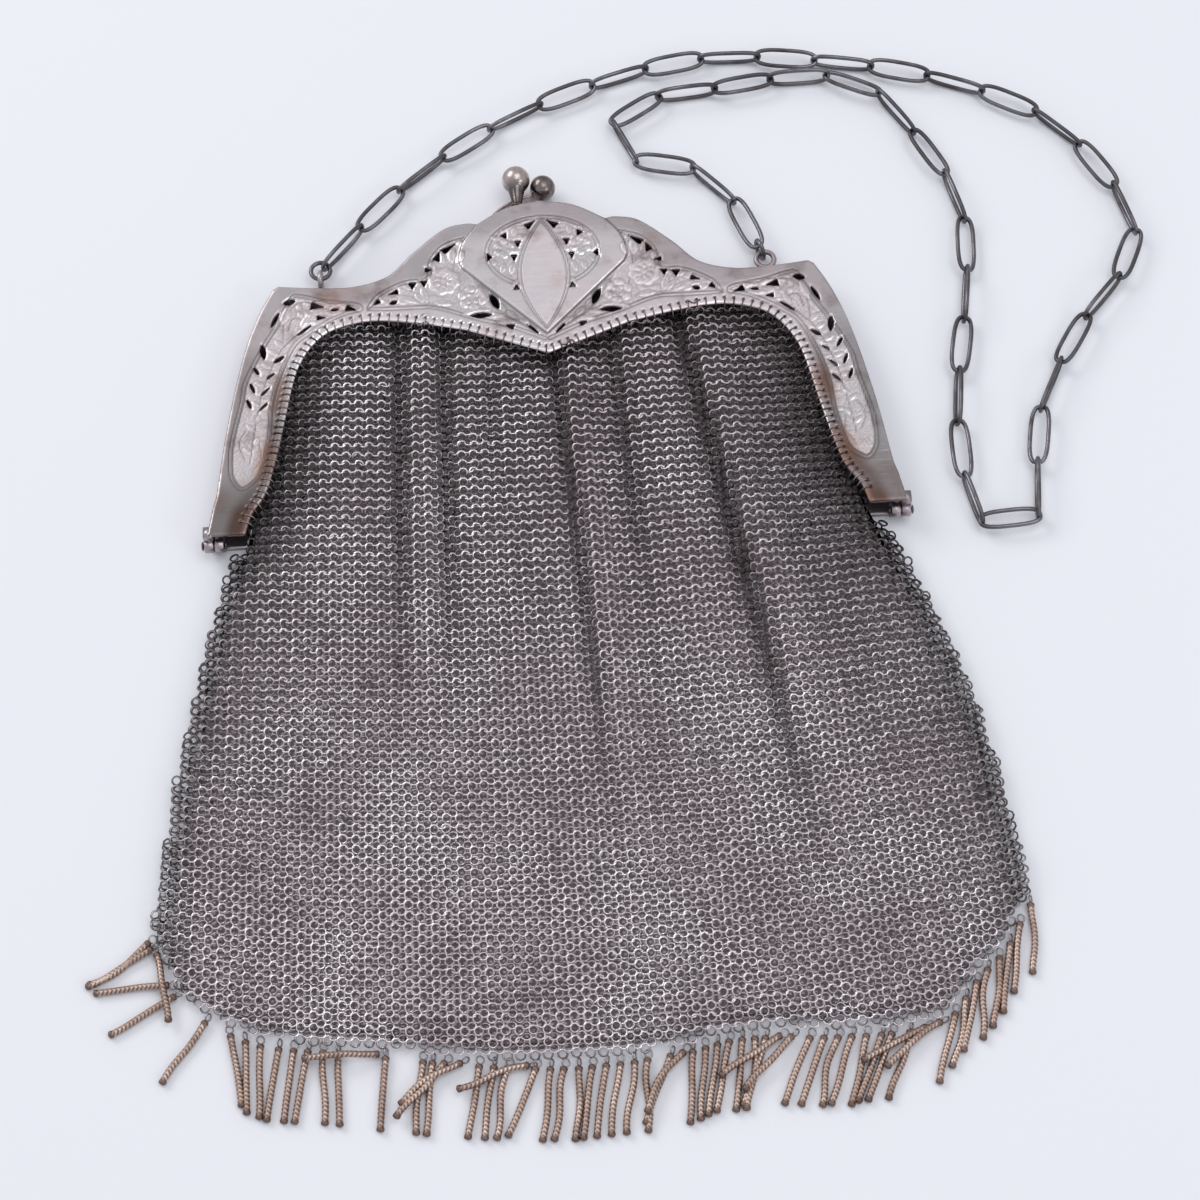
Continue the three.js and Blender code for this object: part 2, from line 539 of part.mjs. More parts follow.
// Places of the joints: equal steps along the route, found by halving the step's error.
function jointPlaces(start, finish) {
  const lying = ROUTE.map(([x, y]) => vec3(x, y, CHAIN_Z));
  const route = new THREE.CatmullRomCurve3([start, ...lying, finish], false, 'centripetal');
  const fine = route.getPoints(3000);
  const walk = (step) => {
    const places = [fine[0]];
    for (const point of fine) {
      if (places.length <= LINK_COUNT && point.distanceTo(places.at(-1)) >= step) places.push(point);
    }
    return places;
  };
  let [low, high] = [5, 30];
  for (let i = 0; i < 40; i += 1) {
    const step = (low + high) / 2;
    if (walk(step).length > LINK_COUNT) low = step;
    else high = step;
  }
  const places = walk(low);
  places[LINK_COUNT] = finish.clone();
  return places;
}

// One long link from joint to joint: four corners round each end and one in the middle of each side.
// Every other link has its section turned over, so that a ridge of one meets a flat of the next.
function link(from, to, roll, turned) {
  const along = to.clone().sub(from).normalize();
  const level = vec3(0, 0, 1).cross(along).normalize();
  const upright = along.clone().cross(level);
  const wide = level.multiplyScalar(Math.cos(roll)).addScaledVector(upright, Math.sin(roll));
  const radius = LINK_WIDE / 2 - CHAIN_WIRE_R;
  const half = from.distanceTo(to) / 2 + linkReach - radius;
  const middle = from.clone().add(to).multiplyScalar(0.5);
  const corner = radius / Math.cos(Math.PI / 8);
  const points = [];
  for (const end of [1, -1]) {
    points.push(middle.clone().addScaledVector(wide, -end * radius * LINK_BOW));
    for (const degrees of [-67.5, -22.5, 22.5, 67.5]) {
      const angle = rad(degrees);
      points.push(middle.clone()
        .addScaledVector(along, end * (half + corner * Math.cos(angle)))
        .addScaledVector(wide, end * corner * Math.sin(angle)));
    }
  }
  return wire(points, CHAIN_WIRE_R, 5, true, turned);
}

function chainParts() {
  const eyeAt = (side) => vec3(side * EYE_X, topEdge(side * EYE_X) + EYE_RISE, EYE_Z);
  const toward = (from, [x, y]) => vec3(x, y, from.z).sub(from).normalize();
  const rightWay = toward(eyeAt(1), ROUTE.at(-1));
  const left = jumpRing(eyeAt(-1), vec3(0, 1, 0), vec3(1, 0, 0));
  const right = jumpRing(eyeAt(1), rightWay, vec3(0, 0, 1));
  const hold = RING_R - 2 * CHAIN_WIRE_R - SEAT_GAP + linkReach;
  const start = left.centre.clone().addScaledVector(toward(left.centre, ROUTE[0]), hold);
  const finish = right.centre.clone().addScaledVector(rightWay, hold);
  const places = jointPlaces(start, finish);
  const links = places.slice(1).map((place, i) => link(places[i], place,
    rad(i % 2 === 0 ? EDGE_ROLL : FLAT_ROLL), i % 2 === 0));
  return { left: left.solid, right: right.solid, chain: addAll(links) };
}

// Bag

const hemCurve = new THREE.SplineCurve(HEM.map(([x, y]) => vec2(x * BAG_HALF, y * BAG_DROP)));
const mouthLine = shifted(innerLine, -TUCK);

function along(line, x) {
  const i = Math.min(Math.max(line.findIndex((p) => p.x >= x), 1), line.length - 1);
  const [a, b] = [line[i - 1], line[i]];
  return a.y + ((x - a.x) / (b.x - a.x)) * (b.y - a.y);
}

// A place on the bag: across runs from -1 to 1, down from 0 at the frame to 1 at the hem.
function bagPlace(across, down) {
  const reach = mouthLine.at(-1).x;
  const topX = across * SHOULDER_HALF;
  const topY = Math.abs(topX) < reach ? along(mouthLine, topX) : mouthLine.at(-1).y;
  const foot = hemCurve.getPoint((across + 1) / 2);
  const bulge = (across < 0 ? BULGE_LEFT : BULGE_RIGHT) * across ** 3;
  return vec2(
    THREE.MathUtils.lerp(topX, foot.x, down) + bulge * Math.sin(Math.PI * Math.max(down, 0)),
    THREE.MathUtils.lerp(topY, foot.y, down),
  );
}

// Height of the bag's front: it falls from the mouth to the hem, and folds run down it.
function frontHeight(across, down, place) {
  const ease = THREE.MathUtils.smoothstep(down, 0, 0.9);
  const swell = BELLY * Math.sin(Math.PI * Math.min(1, Math.max(0, down) ** 0.6));
  const middle = THREE.MathUtils.lerp(MOUTH_HIGH, HEM_HIGH, ease) + swell;
  const travel = (FOLD_START - place.y) / (FOLD_START + BAG_DROP);
  let folds = 0;
  for (const fold of FOLDS) {
    const x = THREE.MathUtils.lerp(fold.top, fold.foot, travel) * FX;
    const fade = 1 - THREE.MathUtils.smoothstep(travel, fold.reach * 0.35, fold.reach);
    folds += fold.height * MOUTH_HIGH * fade * Math.exp(-(((place.x - x) / (fold.width * MOUTH_HIGH)) ** 2));
  }
  const side = 1 - Math.abs(across) ** 8;
  return HEM_HIGH + (middle + folds - HEM_HIGH) * side;
}

const WIDEST_COLUMN = 10;
const MOUTH_CUT = 0.12;       // the hollow is cut through the mouth by this share of the bag's length
const GRID = {
  outside: { columns: foldColumns(2), steps: 6 },
  inside: { columns: foldColumns(1), steps: 4 },
};

// Columns of the bag's grid: one on each fold, with the spaces between them in least or more parts.
// Each has its place across at the frame and at the hem, from -1 to 1.
function foldColumns(least) {
  const marks = [{ top: -1, foot: -1 }];
  for (const fold of FOLDS) {
    marks.push({ top: (fold.top * FX) / SHOULDER_HALF, foot: (fold.foot * FX) / BAG_HALF });
  }
  marks.push({ top: 1, foot: 1 });
  const columns = [marks[0]];
  for (let i = 1; i < marks.length; i += 1) {
    const [a, b] = [marks[i - 1], marks[i]];
    const parts = Math.max(least, Math.ceil(((b.foot - a.foot) * BAG_HALF * least) / (2 * WIDEST_COLUMN)));
    for (let k = 1; k <= parts; k += 1) {
      columns.push({
        top: THREE.MathUtils.lerp(a.top, b.top, k / parts),
        foot: THREE.MathUtils.lerp(a.foot, b.foot, k / parts),
      });
    }
  }
  return columns;
}

// A closed solid between a floor height and the bag's front, less an offset on every side. It starts
// at the mouth, or above it by a share of the bag's length.
function bagSolid(inset, start, { columns, steps }) {
  const end = 1 - inset / (BAG_DROP + mouthLine.at(-1).y);
  const shrink = 1 - inset / SHOULDER_HALF;
  const grid = [];
  for (let j = 0; j <= steps; j += 1) {
    const down = start + ((end - start) * j) / steps;
    grid.push(columns.map((column) => {
      const across = THREE.MathUtils.lerp(column.top, column.foot, Math.max(down, 0));
      const place = bagPlace(across, down);
      return vec3(place.x * shrink, place.y, frontHeight(across, Math.max(down, 0), place) - inset);
    }));
  }
  const rings = grid.map((row) => [
    ...row,
    ...[...row].reverse().map((p) => vec3(p.x, p.y, inset)),
  ]);
  return skin(rings, false);
}

function meshBag() {
  const far = 2 * FX;
  const edge = shifted(innerLine, SEAT_GAP);
  const low = LEG_END - SEAT_GAP;
  const barrelLow = hingeY - KNUCKLE_R - SEAT_GAP;
  const barrelIn = knuckleSpan.back[0] - PIN_HEAD_LONG - 2 * SEAT_GAP;
  const framed = [vec2(-far, barrelLow), vec2(-barrelIn, barrelLow), vec2(-barrelIn, low), vec2(edge[0].x, low),
    ...edge.filter((p) => p.y > low + 0.1),
    vec2(edge.at(-1).x, low), vec2(barrelIn, low), vec2(barrelIn, barrelLow), vec2(far, barrelLow),
    vec2(far, FX), vec2(-far, FX)];
  const walls = bagSolid(0, 0, GRID.outside).subtract(bagSolid(WALL, -MOUTH_CUT, GRID.inside));
  return walls.subtract(prism(framed, -1, 3 * JAW_DEEP));
}

// Fringe

// The hem cord follows the hem column by column, a clearance outside it.
const hemLine = GRID.outside.columns.map(({ foot }) => hemCurve.getPoint((foot + 1) / 2));
const cordLine = shifted(hemLine, HEM_CORD_R + SEAT_GAP);

function hemPlace(share) {
  const x = share * BAG_HALF;
  return vec2(x, along(cordLine, x));
}

// The foot of a cord, and the places half way down and at its tip.
function cordPath(share, lean, bend, over) {
  const start = hemPlace(share);
  const lift = CORD_R + over * CROSSING_RISE;
  const path = [vec3(start.x, start.y, HEM_CORD_SINK)];
  for (const turn of [-bend / 4, bend / 4]) {
    const angle = rad(lean + turn);
    const last = path.at(-1);
    path.push(vec3(last.x + (CORD_LONG / 2) * Math.sin(angle), last.y - (CORD_LONG / 2) * Math.cos(angle), lift));
  }
  return path;
}

// Neighbours that lie side by side are one flat lock, from the first cord's line to the last one's.
function lock(first, last) {
  const outward = (a, b) => a.clone().sub(b).normalize().multiplyScalar(CORD_R);
  const rings = [0, 2].map((k) => {
    const side = outward(first[k], last[k]);
    const [a, b] = [first[k].clone().add(side), last[k].clone().sub(side)];
    const half = vec3(0, 0, CORD_R);
    return [a.clone().sub(half), a.clone().add(half), b.clone().add(half), b.clone().sub(half)];
  });
  return skin(rings, false);
}

function fringe() {
  const band = cordLine.map((place) => vec3(place.x, place.y, HEM_CORD_SINK));
  const solids = [wire(band, HEM_CORD_R, 4, false)];
  for (const row of CORD_GROUPS) {
    const path = (k) => {
      const share = row.count > 1 ? k / (row.count - 1) : 0;
      return cordPath(THREE.MathUtils.lerp(row.from, row.to, share), THREE.MathUtils.lerp(...row.lean, share),
        row.bend, row.over);
    };
    for (let k = 0; k < row.count; k += LOCK_CORDS) {
      const first = path(k);
      const last = path(Math.min(k + LOCK_CORDS, row.count) - 1);
      if (first[0].equals(last[0])) solids.push(wire([first[0], first[2]], CORD_R, 4, false));
      else solids.push(lock(first, last));
    }
  }
  return addAll(solids);
}

// Assembly

const silver = { color: 0xb9b0ae, roughness: 0.35, metalness: 1 };
const dark = { color: 0x5d5f68, roughness: 0.4, metalness: 1 };
const mail = { color: 0x8c8783, roughness: 0.42, metalness: 1 };
const rose = { color: 0xa08c84, roughness: 0.45, metalness: 1 };

const group = new THREE.Group();

function place(name, solid, look) {
  const mesh = new THREE.Mesh(toGeometry(solid), new THREE.MeshStandardMaterial(look));
  mesh.name = name;
  group.add(mesh);
}

place('front_jaw', frontJaw(), silver);
place('back_jaw', backJaw(), silver);
place('hinge_pin_left', hingePin(-1), dark);
place('hinge_pin_right', hingePin(1), dark);
place('clasp_knob', claspKnob(), silver);
place('clasp_spring', claspSpring(), dark);
const carrying = chainParts();
place('jump_ring_left', carrying.left, dark);
place('jump_ring_right', carrying.right, dark);
place('chain', carrying.chain, dark);
place('mesh_bag', meshBag(), mail);
place('fringe', fringe(), rose);

export default group;
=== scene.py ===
# %% [markdown]
# # A silver chain mesh evening bag
# The bag lies on its back on a pale table: a pierced and engraved silver frame, a bag of linked rings,
# a carrying chain of long links and a fringe of short foxtail cords. The construction is already
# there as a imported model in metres. This lesson dresses it, piece by piece, in the same place.

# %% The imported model
import math

import bmesh
import bpy
import numpy as np
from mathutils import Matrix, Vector


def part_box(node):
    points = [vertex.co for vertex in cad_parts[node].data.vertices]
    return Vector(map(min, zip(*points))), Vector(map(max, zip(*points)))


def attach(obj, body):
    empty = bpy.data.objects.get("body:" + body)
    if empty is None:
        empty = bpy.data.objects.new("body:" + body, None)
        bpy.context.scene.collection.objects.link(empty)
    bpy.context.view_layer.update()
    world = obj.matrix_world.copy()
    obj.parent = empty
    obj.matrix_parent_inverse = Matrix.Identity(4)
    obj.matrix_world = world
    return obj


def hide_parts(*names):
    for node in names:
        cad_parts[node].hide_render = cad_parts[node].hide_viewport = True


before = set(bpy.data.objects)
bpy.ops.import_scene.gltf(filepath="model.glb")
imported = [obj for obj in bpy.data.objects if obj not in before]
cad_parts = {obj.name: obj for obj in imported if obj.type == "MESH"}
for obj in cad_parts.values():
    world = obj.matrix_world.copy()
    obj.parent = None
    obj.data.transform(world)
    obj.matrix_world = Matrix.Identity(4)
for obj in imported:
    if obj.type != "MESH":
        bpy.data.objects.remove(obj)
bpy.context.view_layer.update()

MM = 0.001
rng = np.random.default_rng(7)
print("packed nodes:", sorted(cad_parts))

# %% [markdown]
# The camera stands 64 degrees above the table and 0.66 m away, a little turned round the bag. It was
# found from the carrying chain: only from this height do all its links come out equally long.

# %% Camera and light
CAMERA_AT = (-0.00843, -0.37393, 0.5932)
CAMERA_AIM = (0.00873, -0.08512, 0.0)
CAMERA_LENS = 84.15
LIGHT_AIM = (0.0, -0.06, 0.0)
LIGHTS = [
    dict(name="window", at=(-1.1, 0.9, 1.1), size=(1.1, 0.8), power=10.0, colour=(1.0, 0.98, 0.97)),
    dict(name="ceiling", at=(0.4, 0.0, 1.6), size=(1.1, 1.1), power=6.0, colour=(0.97, 0.98, 1.0)),
    dict(name="fill", at=(1.0, -0.9, 0.9), size=(0.7, 0.5), power=2.0, colour=(0.95, 0.97, 1.0)),
]
ROOM_COLOUR, ROOM_STRENGTH = (0.90, 0.915, 0.97, 1.0), 0.62


def add_object(name, data):
    made = bpy.data.objects.new(name, data)
    bpy.context.scene.collection.objects.link(made)
    return made


def faced(thing, at, aim):
    """A camera or a lamp set at one place and turned to face another."""
    thing.location = at
    thing.rotation_euler = (Vector(aim) - Vector(at)).to_track_quat("-Z", "Y").to_euler()
    return thing


def soft_light(name, at, size, power, colour):
    """A rectangle of light that faces the bag."""
    data = bpy.data.lights.new(name, "AREA")
    data.shape = "RECTANGLE"
    data.size, data.size_y = size
    data.energy = power
    data.color = colour
    faced(add_object(name, data), at, LIGHT_AIM)


camera = faced(add_object("camera", bpy.data.cameras.new("camera")), CAMERA_AT, CAMERA_AIM)
camera.data.lens = CAMERA_LENS
bpy.context.scene.camera = camera
for light in LIGHTS:
    soft_light(**light)

world = bpy.data.worlds.new("studio")
bpy.context.scene.world = world
world.use_nodes = True
room = world.node_tree.nodes["Background"].inputs
room["Color"].default_value = ROOM_COLOUR
room["Strength"].default_value = ROOM_STRENGTH
bpy.context.scene.view_settings.view_transform = "Standard"
print("lights:", [light["name"] for light in LIGHTS])

# %% [markdown]
# Everything below is built from whole arrays. A grid of points becomes quads by one rule, and a wire
# is a round outline carried along a path. The two helpers below hold that rule and that sweep.

# %% Grids, sweeps and pieces
def grid_faces(rows, columns, wrap_rows=False, wrap_columns=False):
    """Quads of a grid: they face along the row direction crossed with the column direction."""
    i = np.arange(rows if wrap_rows else rows - 1)[:, None]
    j = np.arange(columns if wrap_columns else columns - 1)[None, :]
    down, right = (i + 1) % rows, (j + 1) % columns
    quads = np.stack([i * columns + j, down * columns + j, down * columns + right, i * columns + right], -1)
    return quads.reshape(-1, 4)


def repeated(points, faces):
    """Copies of one grid: the points are already placed, the quads are shifted copy by copy."""
    copies = len(points)
    flat = points.reshape(copies, -1, 3)
    shift = flat.shape[1] * np.arange(copies)[:, None, None]
    return flat.reshape(-1, 3), (faces[None] + shift).reshape(-1, 4)


def unit(vectors):
    return vectors / np.maximum(np.linalg.norm(vectors, axis=-1, keepdims=True), 1e-12)


def circle(sides, radius=1.0, start=0.0):
    turn = start + 2 * np.pi * np.arange(sides) / sides
    return radius * np.stack([np.cos(turn), np.sin(turn)], -1)


UP = np.array([0.0, 0.0, 1.0])


def sweep(paths, up, outline, closed, swell=1.0):
    """An outline, or one for each step, carried along each path: sideways first, then towards up."""
    ahead = np.roll(paths, -1, 1) - np.roll(paths, 1, 1) if closed else np.gradient(paths, axis=1)
    ahead = unit(ahead)
    side = unit(np.cross(ahead, up))
    top = np.cross(side, ahead)
    section = outline * np.asarray(swell)[..., None, None]
    points = (paths[:, :, None] + side[:, :, None] * section[..., 0, None]
              + top[:, :, None] * section[..., 1, None])
    return repeated(points, grid_faces(paths.shape[1], outline.shape[-2], closed, True))


def turned(profile, centre, axis, steps):
    """A profile of radius and height turned round an axis through the centre."""
    axis = unit(np.array(axis, float))
    first = unit(np.cross(axis, [0.31, 0.52, 0.79]))
    second = np.cross(axis, first)
    around = circle(steps)
    ring = around[:, :1] * first + around[:, 1:] * second
    profile = np.asarray(profile, float)
    points = centre + profile[:, 1, None, None] * axis + profile[:, 0, None, None] * ring[None]
    return points.reshape(-1, 3), grid_faces(len(profile), steps, False, True)[:, ::-1]


def joined(parts):
    """Several point and quad arrays as one."""
    start = np.cumsum([0] + [len(points) for points, _ in parts])
    faces = [quads + first for (_, quads), first in zip(parts, start)]
    return np.concatenate([points for points, _ in parts]), np.concatenate(faces)


def add_piece(name, shape, made_of, replaces=(), marks=None, merge=False):
    """One finished piece: points in millimetres and quads, its metal, its marks by point."""
    points, faces = shape
    mesh = bpy.data.meshes.new(name)
    mesh.vertices.add(len(points))
    mesh.vertices.foreach_set("co", (points * MM).astype(np.float32).ravel())
    mesh.loops.add(faces.size)
    mesh.loops.foreach_set("vertex_index", faces.astype(np.int32).ravel())
    mesh.polygons.add(len(faces))
    mesh.polygons.foreach_set("loop_start", np.arange(0, faces.size, 4, dtype=np.int32))
    mesh.update(calc_edges=True)
    for mark, values in (marks or {}).items():
        layer = mesh.attributes.new(mark, "FLOAT", "POINT")
        layer.data.foreach_set("value", np.asarray(values, np.float32).ravel())
    if merge:
        close = bmesh.new()
        close.from_mesh(mesh)
        bmesh.ops.remove_doubles(close, verts=close.verts, dist=1e-6)
        close.to_mesh(mesh)
        close.free()
    mesh.polygons.foreach_set("use_smooth", np.ones(len(mesh.polygons), bool))
    mesh.materials.append(metals[made_of])
    piece = add_object(name, mesh)
    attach(piece, "root")
    if replaces:
        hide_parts(*replaces)
    print(name, len(mesh.polygons), "faces")


def box_mm(node):
    low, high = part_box(node)
    return np.array(low) / MM, np.array(high) / MM


# %% [markdown]
# Old silver is never one colour. Its open faces stay bright, its hollows go brown to black, and the
# tarnish between them is a rosy grey. One node group mixes those colours from noise in object space,
# and every metal here uses it with its own colours.

# %% The tarnish group
def srgb(red, green, blue):
    """Screen colour, 0 to 255, as the linear colour that a shader takes."""
    value = np.array([red, green, blue]) / 255
    linear = np.where(value <= 0.04045, value / 12.92, ((value + 0.055) / 1.055) ** 2.4)
    return (*linear.tolist(), 1.0)


def node(tree, kind, inputs=None, **settings):
    """A shader node with its settings, and each input linked or set."""
    made = tree.nodes.new("ShaderNode" + kind)
    for key, value in settings.items():
        setattr(made, key, value)
    for socket, value in (inputs or {}).items():
        if isinstance(value, bpy.types.NodeSocket):
            tree.links.new(value, made.inputs[socket])
        else:
            made.inputs[socket].default_value = value
    return made


def mixed(tree, factor, first, second, blend="MIX"):
    made = node(tree, "Mix", {0: factor, 6: first, 7: second}, data_type="RGBA", blend_type=blend)
    return made.outputs[2]


def sum_of(tree, first, second, operation="ADD", clamp=False):
    """A Math node: the sum of two values, or another operation on them."""
    return node(tree, "Math", {0: first, 1: second}, operation=operation, use_clamp=clamp).outputs[0]


def band(tree, value, low, high, to_low=0.0, to_high=1.0):
    """A soft step: to_low below one value, to_high above another."""
    ranges = {"Value": value, "From Min": low, "From Max": high, "To Min": to_low, "To Max": to_high}
    return node(tree, "MapRange", ranges, interpolation_type="SMOOTHSTEP").outputs["Result"]


def noise(tree, place, scale, detail=3.0, roughness=0.55):
    inputs = {"Vector": place, "Scale": scale, "Detail": detail, "Roughness": roughness}
    return node(tree, "TexNoise", inputs).outputs["Fac"]


def object_place(tree):
    return tree.nodes.new("ShaderNodeTexCoord").outputs["Object"]


def new_group(name, inputs, outputs):
    """An empty shader group with named sockets, its tree and its input values."""
    tree = bpy.data.node_groups.new(name, "ShaderNodeTree")
    for socket, kind, value in inputs:
        made = tree.interface.new_socket(name=socket, in_out="INPUT", socket_type="NodeSocket" + kind)
        made.default_value = value
    for socket, kind in outputs:
        tree.interface.new_socket(name=socket, in_out="OUTPUT", socket_type="NodeSocket" + kind)
    return tree, tree.nodes.new("NodeGroupInput").outputs, tree.nodes.new("NodeGroupOutput").inputs


FILM_BAND, STAIN_BAND, STAIN_FINER = (0.34, 0.64), (0.46, 0.80), 2.6


def build_tarnish():
    """Clean metal under a broad film, smaller stains and dark hollows."""
    tree, given, out = new_group("tarnish", [
        ("Clean", "Color", (0.8, 0.8, 0.8, 1)), ("Film", "Color", (0.5, 0.45, 0.5, 1)),
        ("Stain", "Color", (0.4, 0.3, 0.3, 1)), ("Hollow", "Color", (0.05, 0.04, 0.04, 1)),
        ("Scale", "Float", 40.0), ("Amount", "Float", 0.5), ("Recess", "Float", 0.0),
    ], [("Color", "Color"), ("Dullness", "Float")])
    place = object_place(tree)
    finer = sum_of(tree, given["Scale"], STAIN_FINER, "MULTIPLY")
    film = band(tree, noise(tree, place, given["Scale"]), *FILM_BAND)
    stain = band(tree, noise(tree, place, finer, 4.0, 0.6), *STAIN_BAND)
    film, stain = (sum_of(tree, layer, given["Amount"], "MULTIPLY") for layer in (film, stain))
    colour = mixed(tree, film, given["Clean"], given["Film"])
    colour = mixed(tree, stain, colour, given["Stain"])
    tree.links.new(mixed(tree, given["Recess"], colour, given["Hollow"]), out["Color"])
    dull = sum_of(tree, sum_of(tree, film, stain), given["Recess"], clamp=True)
    tree.links.new(dull, out["Dullness"])
    return tree


def build_wear():
    """Fine handling marks: soft dents and hairline scratches, as one height."""
    tree, given, out = new_group("wear", [("Dents", "Float", 300.0), ("Hairlines", "Float", 900.0)],
                                 [("Height", "Float")])
    place = object_place(tree)
    drawn = node(tree, "Mapping", {"Vector": place, "Rotation": (0, 0, 0.7), "Scale": (0.12, 1, 1)})
    dents = noise(tree, place, given["Dents"], 2.0)
    lines = noise(tree, drawn.outputs[0], given["Hairlines"], 2.0)
    tree.links.new(sum_of(tree, dents, lines), out["Height"])
    return tree


tarnish, wear = build_tarnish(), build_wear()

# %% [markdown]
# Each metal is one Principled shader. Its colour and dullness come from the tarnish group, so the
# same stain that darkens the metal also makes it less glossy. Pieces that carry a mark, such as the
# depth of an engraved line or the tone of one ring, feed it in as an attribute.

# %% The metals
WARM_STAIN = srgb(184, 136, 112)
WEAR_HIGH = 0.0002
# Clean, film, stain and hollow colours; scale and amount of the tarnish; roughness where the metal is
# clean and where it is dull; strength of the wear; the marks that the pieces carry.
METALS = {
    "frame_silver": ([(250, 244, 244), (222, 209, 211), (156, 138, 138), (46, 38, 36)],
                     52.0, 0.85, (0.24, 0.42), 0.2, "recess warm tone"),
    "back_silver": ([(200, 194, 195), (160, 146, 150), (122, 108, 112), (48, 38, 38)],
                    26.0, 0.85, (0.25, 0.45), 0.3, ""),
    "knob_silver": ([(226, 214, 210), (178, 160, 154), (120, 100, 94), (40, 34, 32)],
                    120.0, 0.8, (0.16, 0.34), 0.15, "tone"),
    "dark_silver": ([(124, 122, 126), (86, 84, 88), (84, 74, 70), (26, 24, 26)],
                    90.0, 0.9, (0.26, 0.44), 0.2, ""),
    "ring_silver": ([(248, 240, 242), (222, 207, 211), (190, 174, 178), (30, 26, 26)],
                    30.0, 0.8, (0.24, 0.4), 0.1, "tone"),
    "cord_rose": ([(226, 202, 188), (190, 164, 150), (150, 126, 116), (92, 72, 66)],
                  80.0, 0.7, (0.3, 0.5), 0.15, "recess"),
    "back_weave": ([(252, 246, 247), (240, 230, 232), (222, 210, 213), (24, 22, 22)],
                   30.0, 0.8, (0.3, 0.45), 0.1, "tone"),
}


def metal(name, colours, scale, amount, roughness, bump, marks):
    """A tarnished metal. A warm mark stains it and a tone mark multiplies its colour."""
    material = bpy.data.materials.new(name)
    material.use_nodes = True
    tree = material.node_tree
    shader = tree.nodes["Principled BSDF"].inputs
    mark = {key: node(tree, "Attribute", attribute_name=key).outputs["Fac"] for key in marks.split()}
    inputs = dict(zip(("Clean", "Film", "Stain", "Hollow"), (srgb(*colour) for colour in colours)))
    inputs.update({"Scale": scale, "Amount": amount, "Recess": mark.get("recess", 0.0)})
    group = node(tree, "Group", inputs, node_tree=tarnish)
    colour = group.outputs["Color"]
    if "warm" in mark:
        colour = mixed(tree, mark["warm"], colour, WARM_STAIN)
    if "tone" in mark:
        shade = node(tree, "CombineColor", {channel: mark["tone"] for channel in range(3)}).outputs[0]
        colour = mixed(tree, 1.0, colour, shade, "MULTIPLY")
    tree.links.new(colour, shader["Base Color"])
    tree.links.new(band(tree, group.outputs["Dullness"], 0, 1, *roughness), shader["Roughness"])
    shader["Metallic"].default_value = 1.0
    height = node(tree, "Group", node_tree=wear).outputs["Height"]
    bumped = node(tree, "Bump", {"Height": height, "Strength": bump, "Distance": WEAR_HIGH})
    tree.links.new(bumped.outputs["Normal"], shader["Normal"])
    return material


metals = {name: metal(name, *row) for name, row in METALS.items()}
print("metals:", list(metals))

# %% [markdown]
# The middle of the bag's back is one sheet, so its rings are a weave in the material: bars down times
# bars across. Where the mask is low lies a dark valley: painted shade in colour, and a dip in bump.

# %% The weave of the back and the floor
WEAVE_X, WEAVE_Y, WEAVE_HIGH = 0.00142, 0.00125, 0.0008
# Painted shade in the valleys between the woven rings.
VALLEY_SHADE = srgb(112, 102, 104)
FLOOR_HALF, FLOOR_COLOUR, FLOOR_ROUGHNESS = 4.0, srgb(240, 241, 246), 0.7


def weave_bars(tree, place, axis, period):
    """Soft bars along one axis, one bar in every period."""
    inputs = {"Vector": place, "Scale": math.pi / 10 / period, "Distortion": 0.6,
              "Detail": 1.0, "Detail Scale": 40.0}
    return node(tree, "TexWave", inputs, bands_direction=axis).outputs["Fac"]


def build_weave():
    """Rows and columns of rings seen from afar, as a mask."""
    tree, given, out = new_group("ring_weave", [("Depth", "Float", 1.0)], [("Mask", "Float")])
    place = object_place(tree)
    columns = weave_bars(tree, place, "X", WEAVE_X)
    rows = weave_bars(tree, place, "Y", WEAVE_Y)
    both = sum_of(tree, columns, rows, "MULTIPLY")
    tree.links.new(sum_of(tree, both, given["Depth"], "MULTIPLY"), out["Mask"])
    return tree


def add_weave(material):
    """Painted shade in the valleys between the rings over a metal, and the valleys in bump."""
    tree = material.node_tree
    shader = tree.nodes["Principled BSDF"].inputs
    mask = node(tree, "Group", node_tree=build_weave()).outputs["Mask"]
    shader["Metallic"].default_value = 0.05
    colour = shader["Base Color"].links[0].from_socket
    tree.links.new(mixed(tree, mask, VALLEY_SHADE, colour), shader["Base Color"])
    bumped = node(tree, "Bump", {"Height": mask, "Strength": 0.8, "Distance": WEAVE_HIGH})
    tree.links.new(bumped.outputs["Normal"], shader["Normal"])


def add_floor():
    """A wide pale table top, which is stage and not part of the bag."""
    table = bpy.data.materials.new("table")
    table.use_nodes = True
    shader = table.node_tree.nodes["Principled BSDF"].inputs
    shader["Base Color"].default_value = FLOOR_COLOUR
    shader["Roughness"].default_value = FLOOR_ROUGHNESS
    mesh = bpy.data.meshes.new("floor")
    corners = [(-1, -1), (1, -1), (1, 1), (-1, 1)]
    mesh.from_pydata([(x * FLOOR_HALF, y * FLOOR_HALF, 0) for x, y in corners], [], [(0, 1, 2, 3)])
    mesh.materials.append(table)
    return add_object("floor", mesh)


add_weave(metals["back_weave"])
floor = add_floor()

# %% [markdown]
# The frame's outlines are a few smooth stretches that meet at corners. Their points are shares of
# the frame's half width and height, so the outline grows with the frame. A Catmull-Rom curve
# passes through every point of a stretch.

# %% Outlines of the frame
jaw_low, jaw_high = box_mm("back_jaw")
HALF = (jaw_high[0] - jaw_low[0]) / 2
# In millimetres: the height that the shares count from, the frame's depth and its plates' thickness.
FRAME_TALL, FRAME_DEEP, PLATE = 89.3, 8.3, 0.9
MID = FRAME_DEEP / 2
LEG_END = -0.7503
SEAT_GAP, SAME_PLACE = 0.3, 0.02


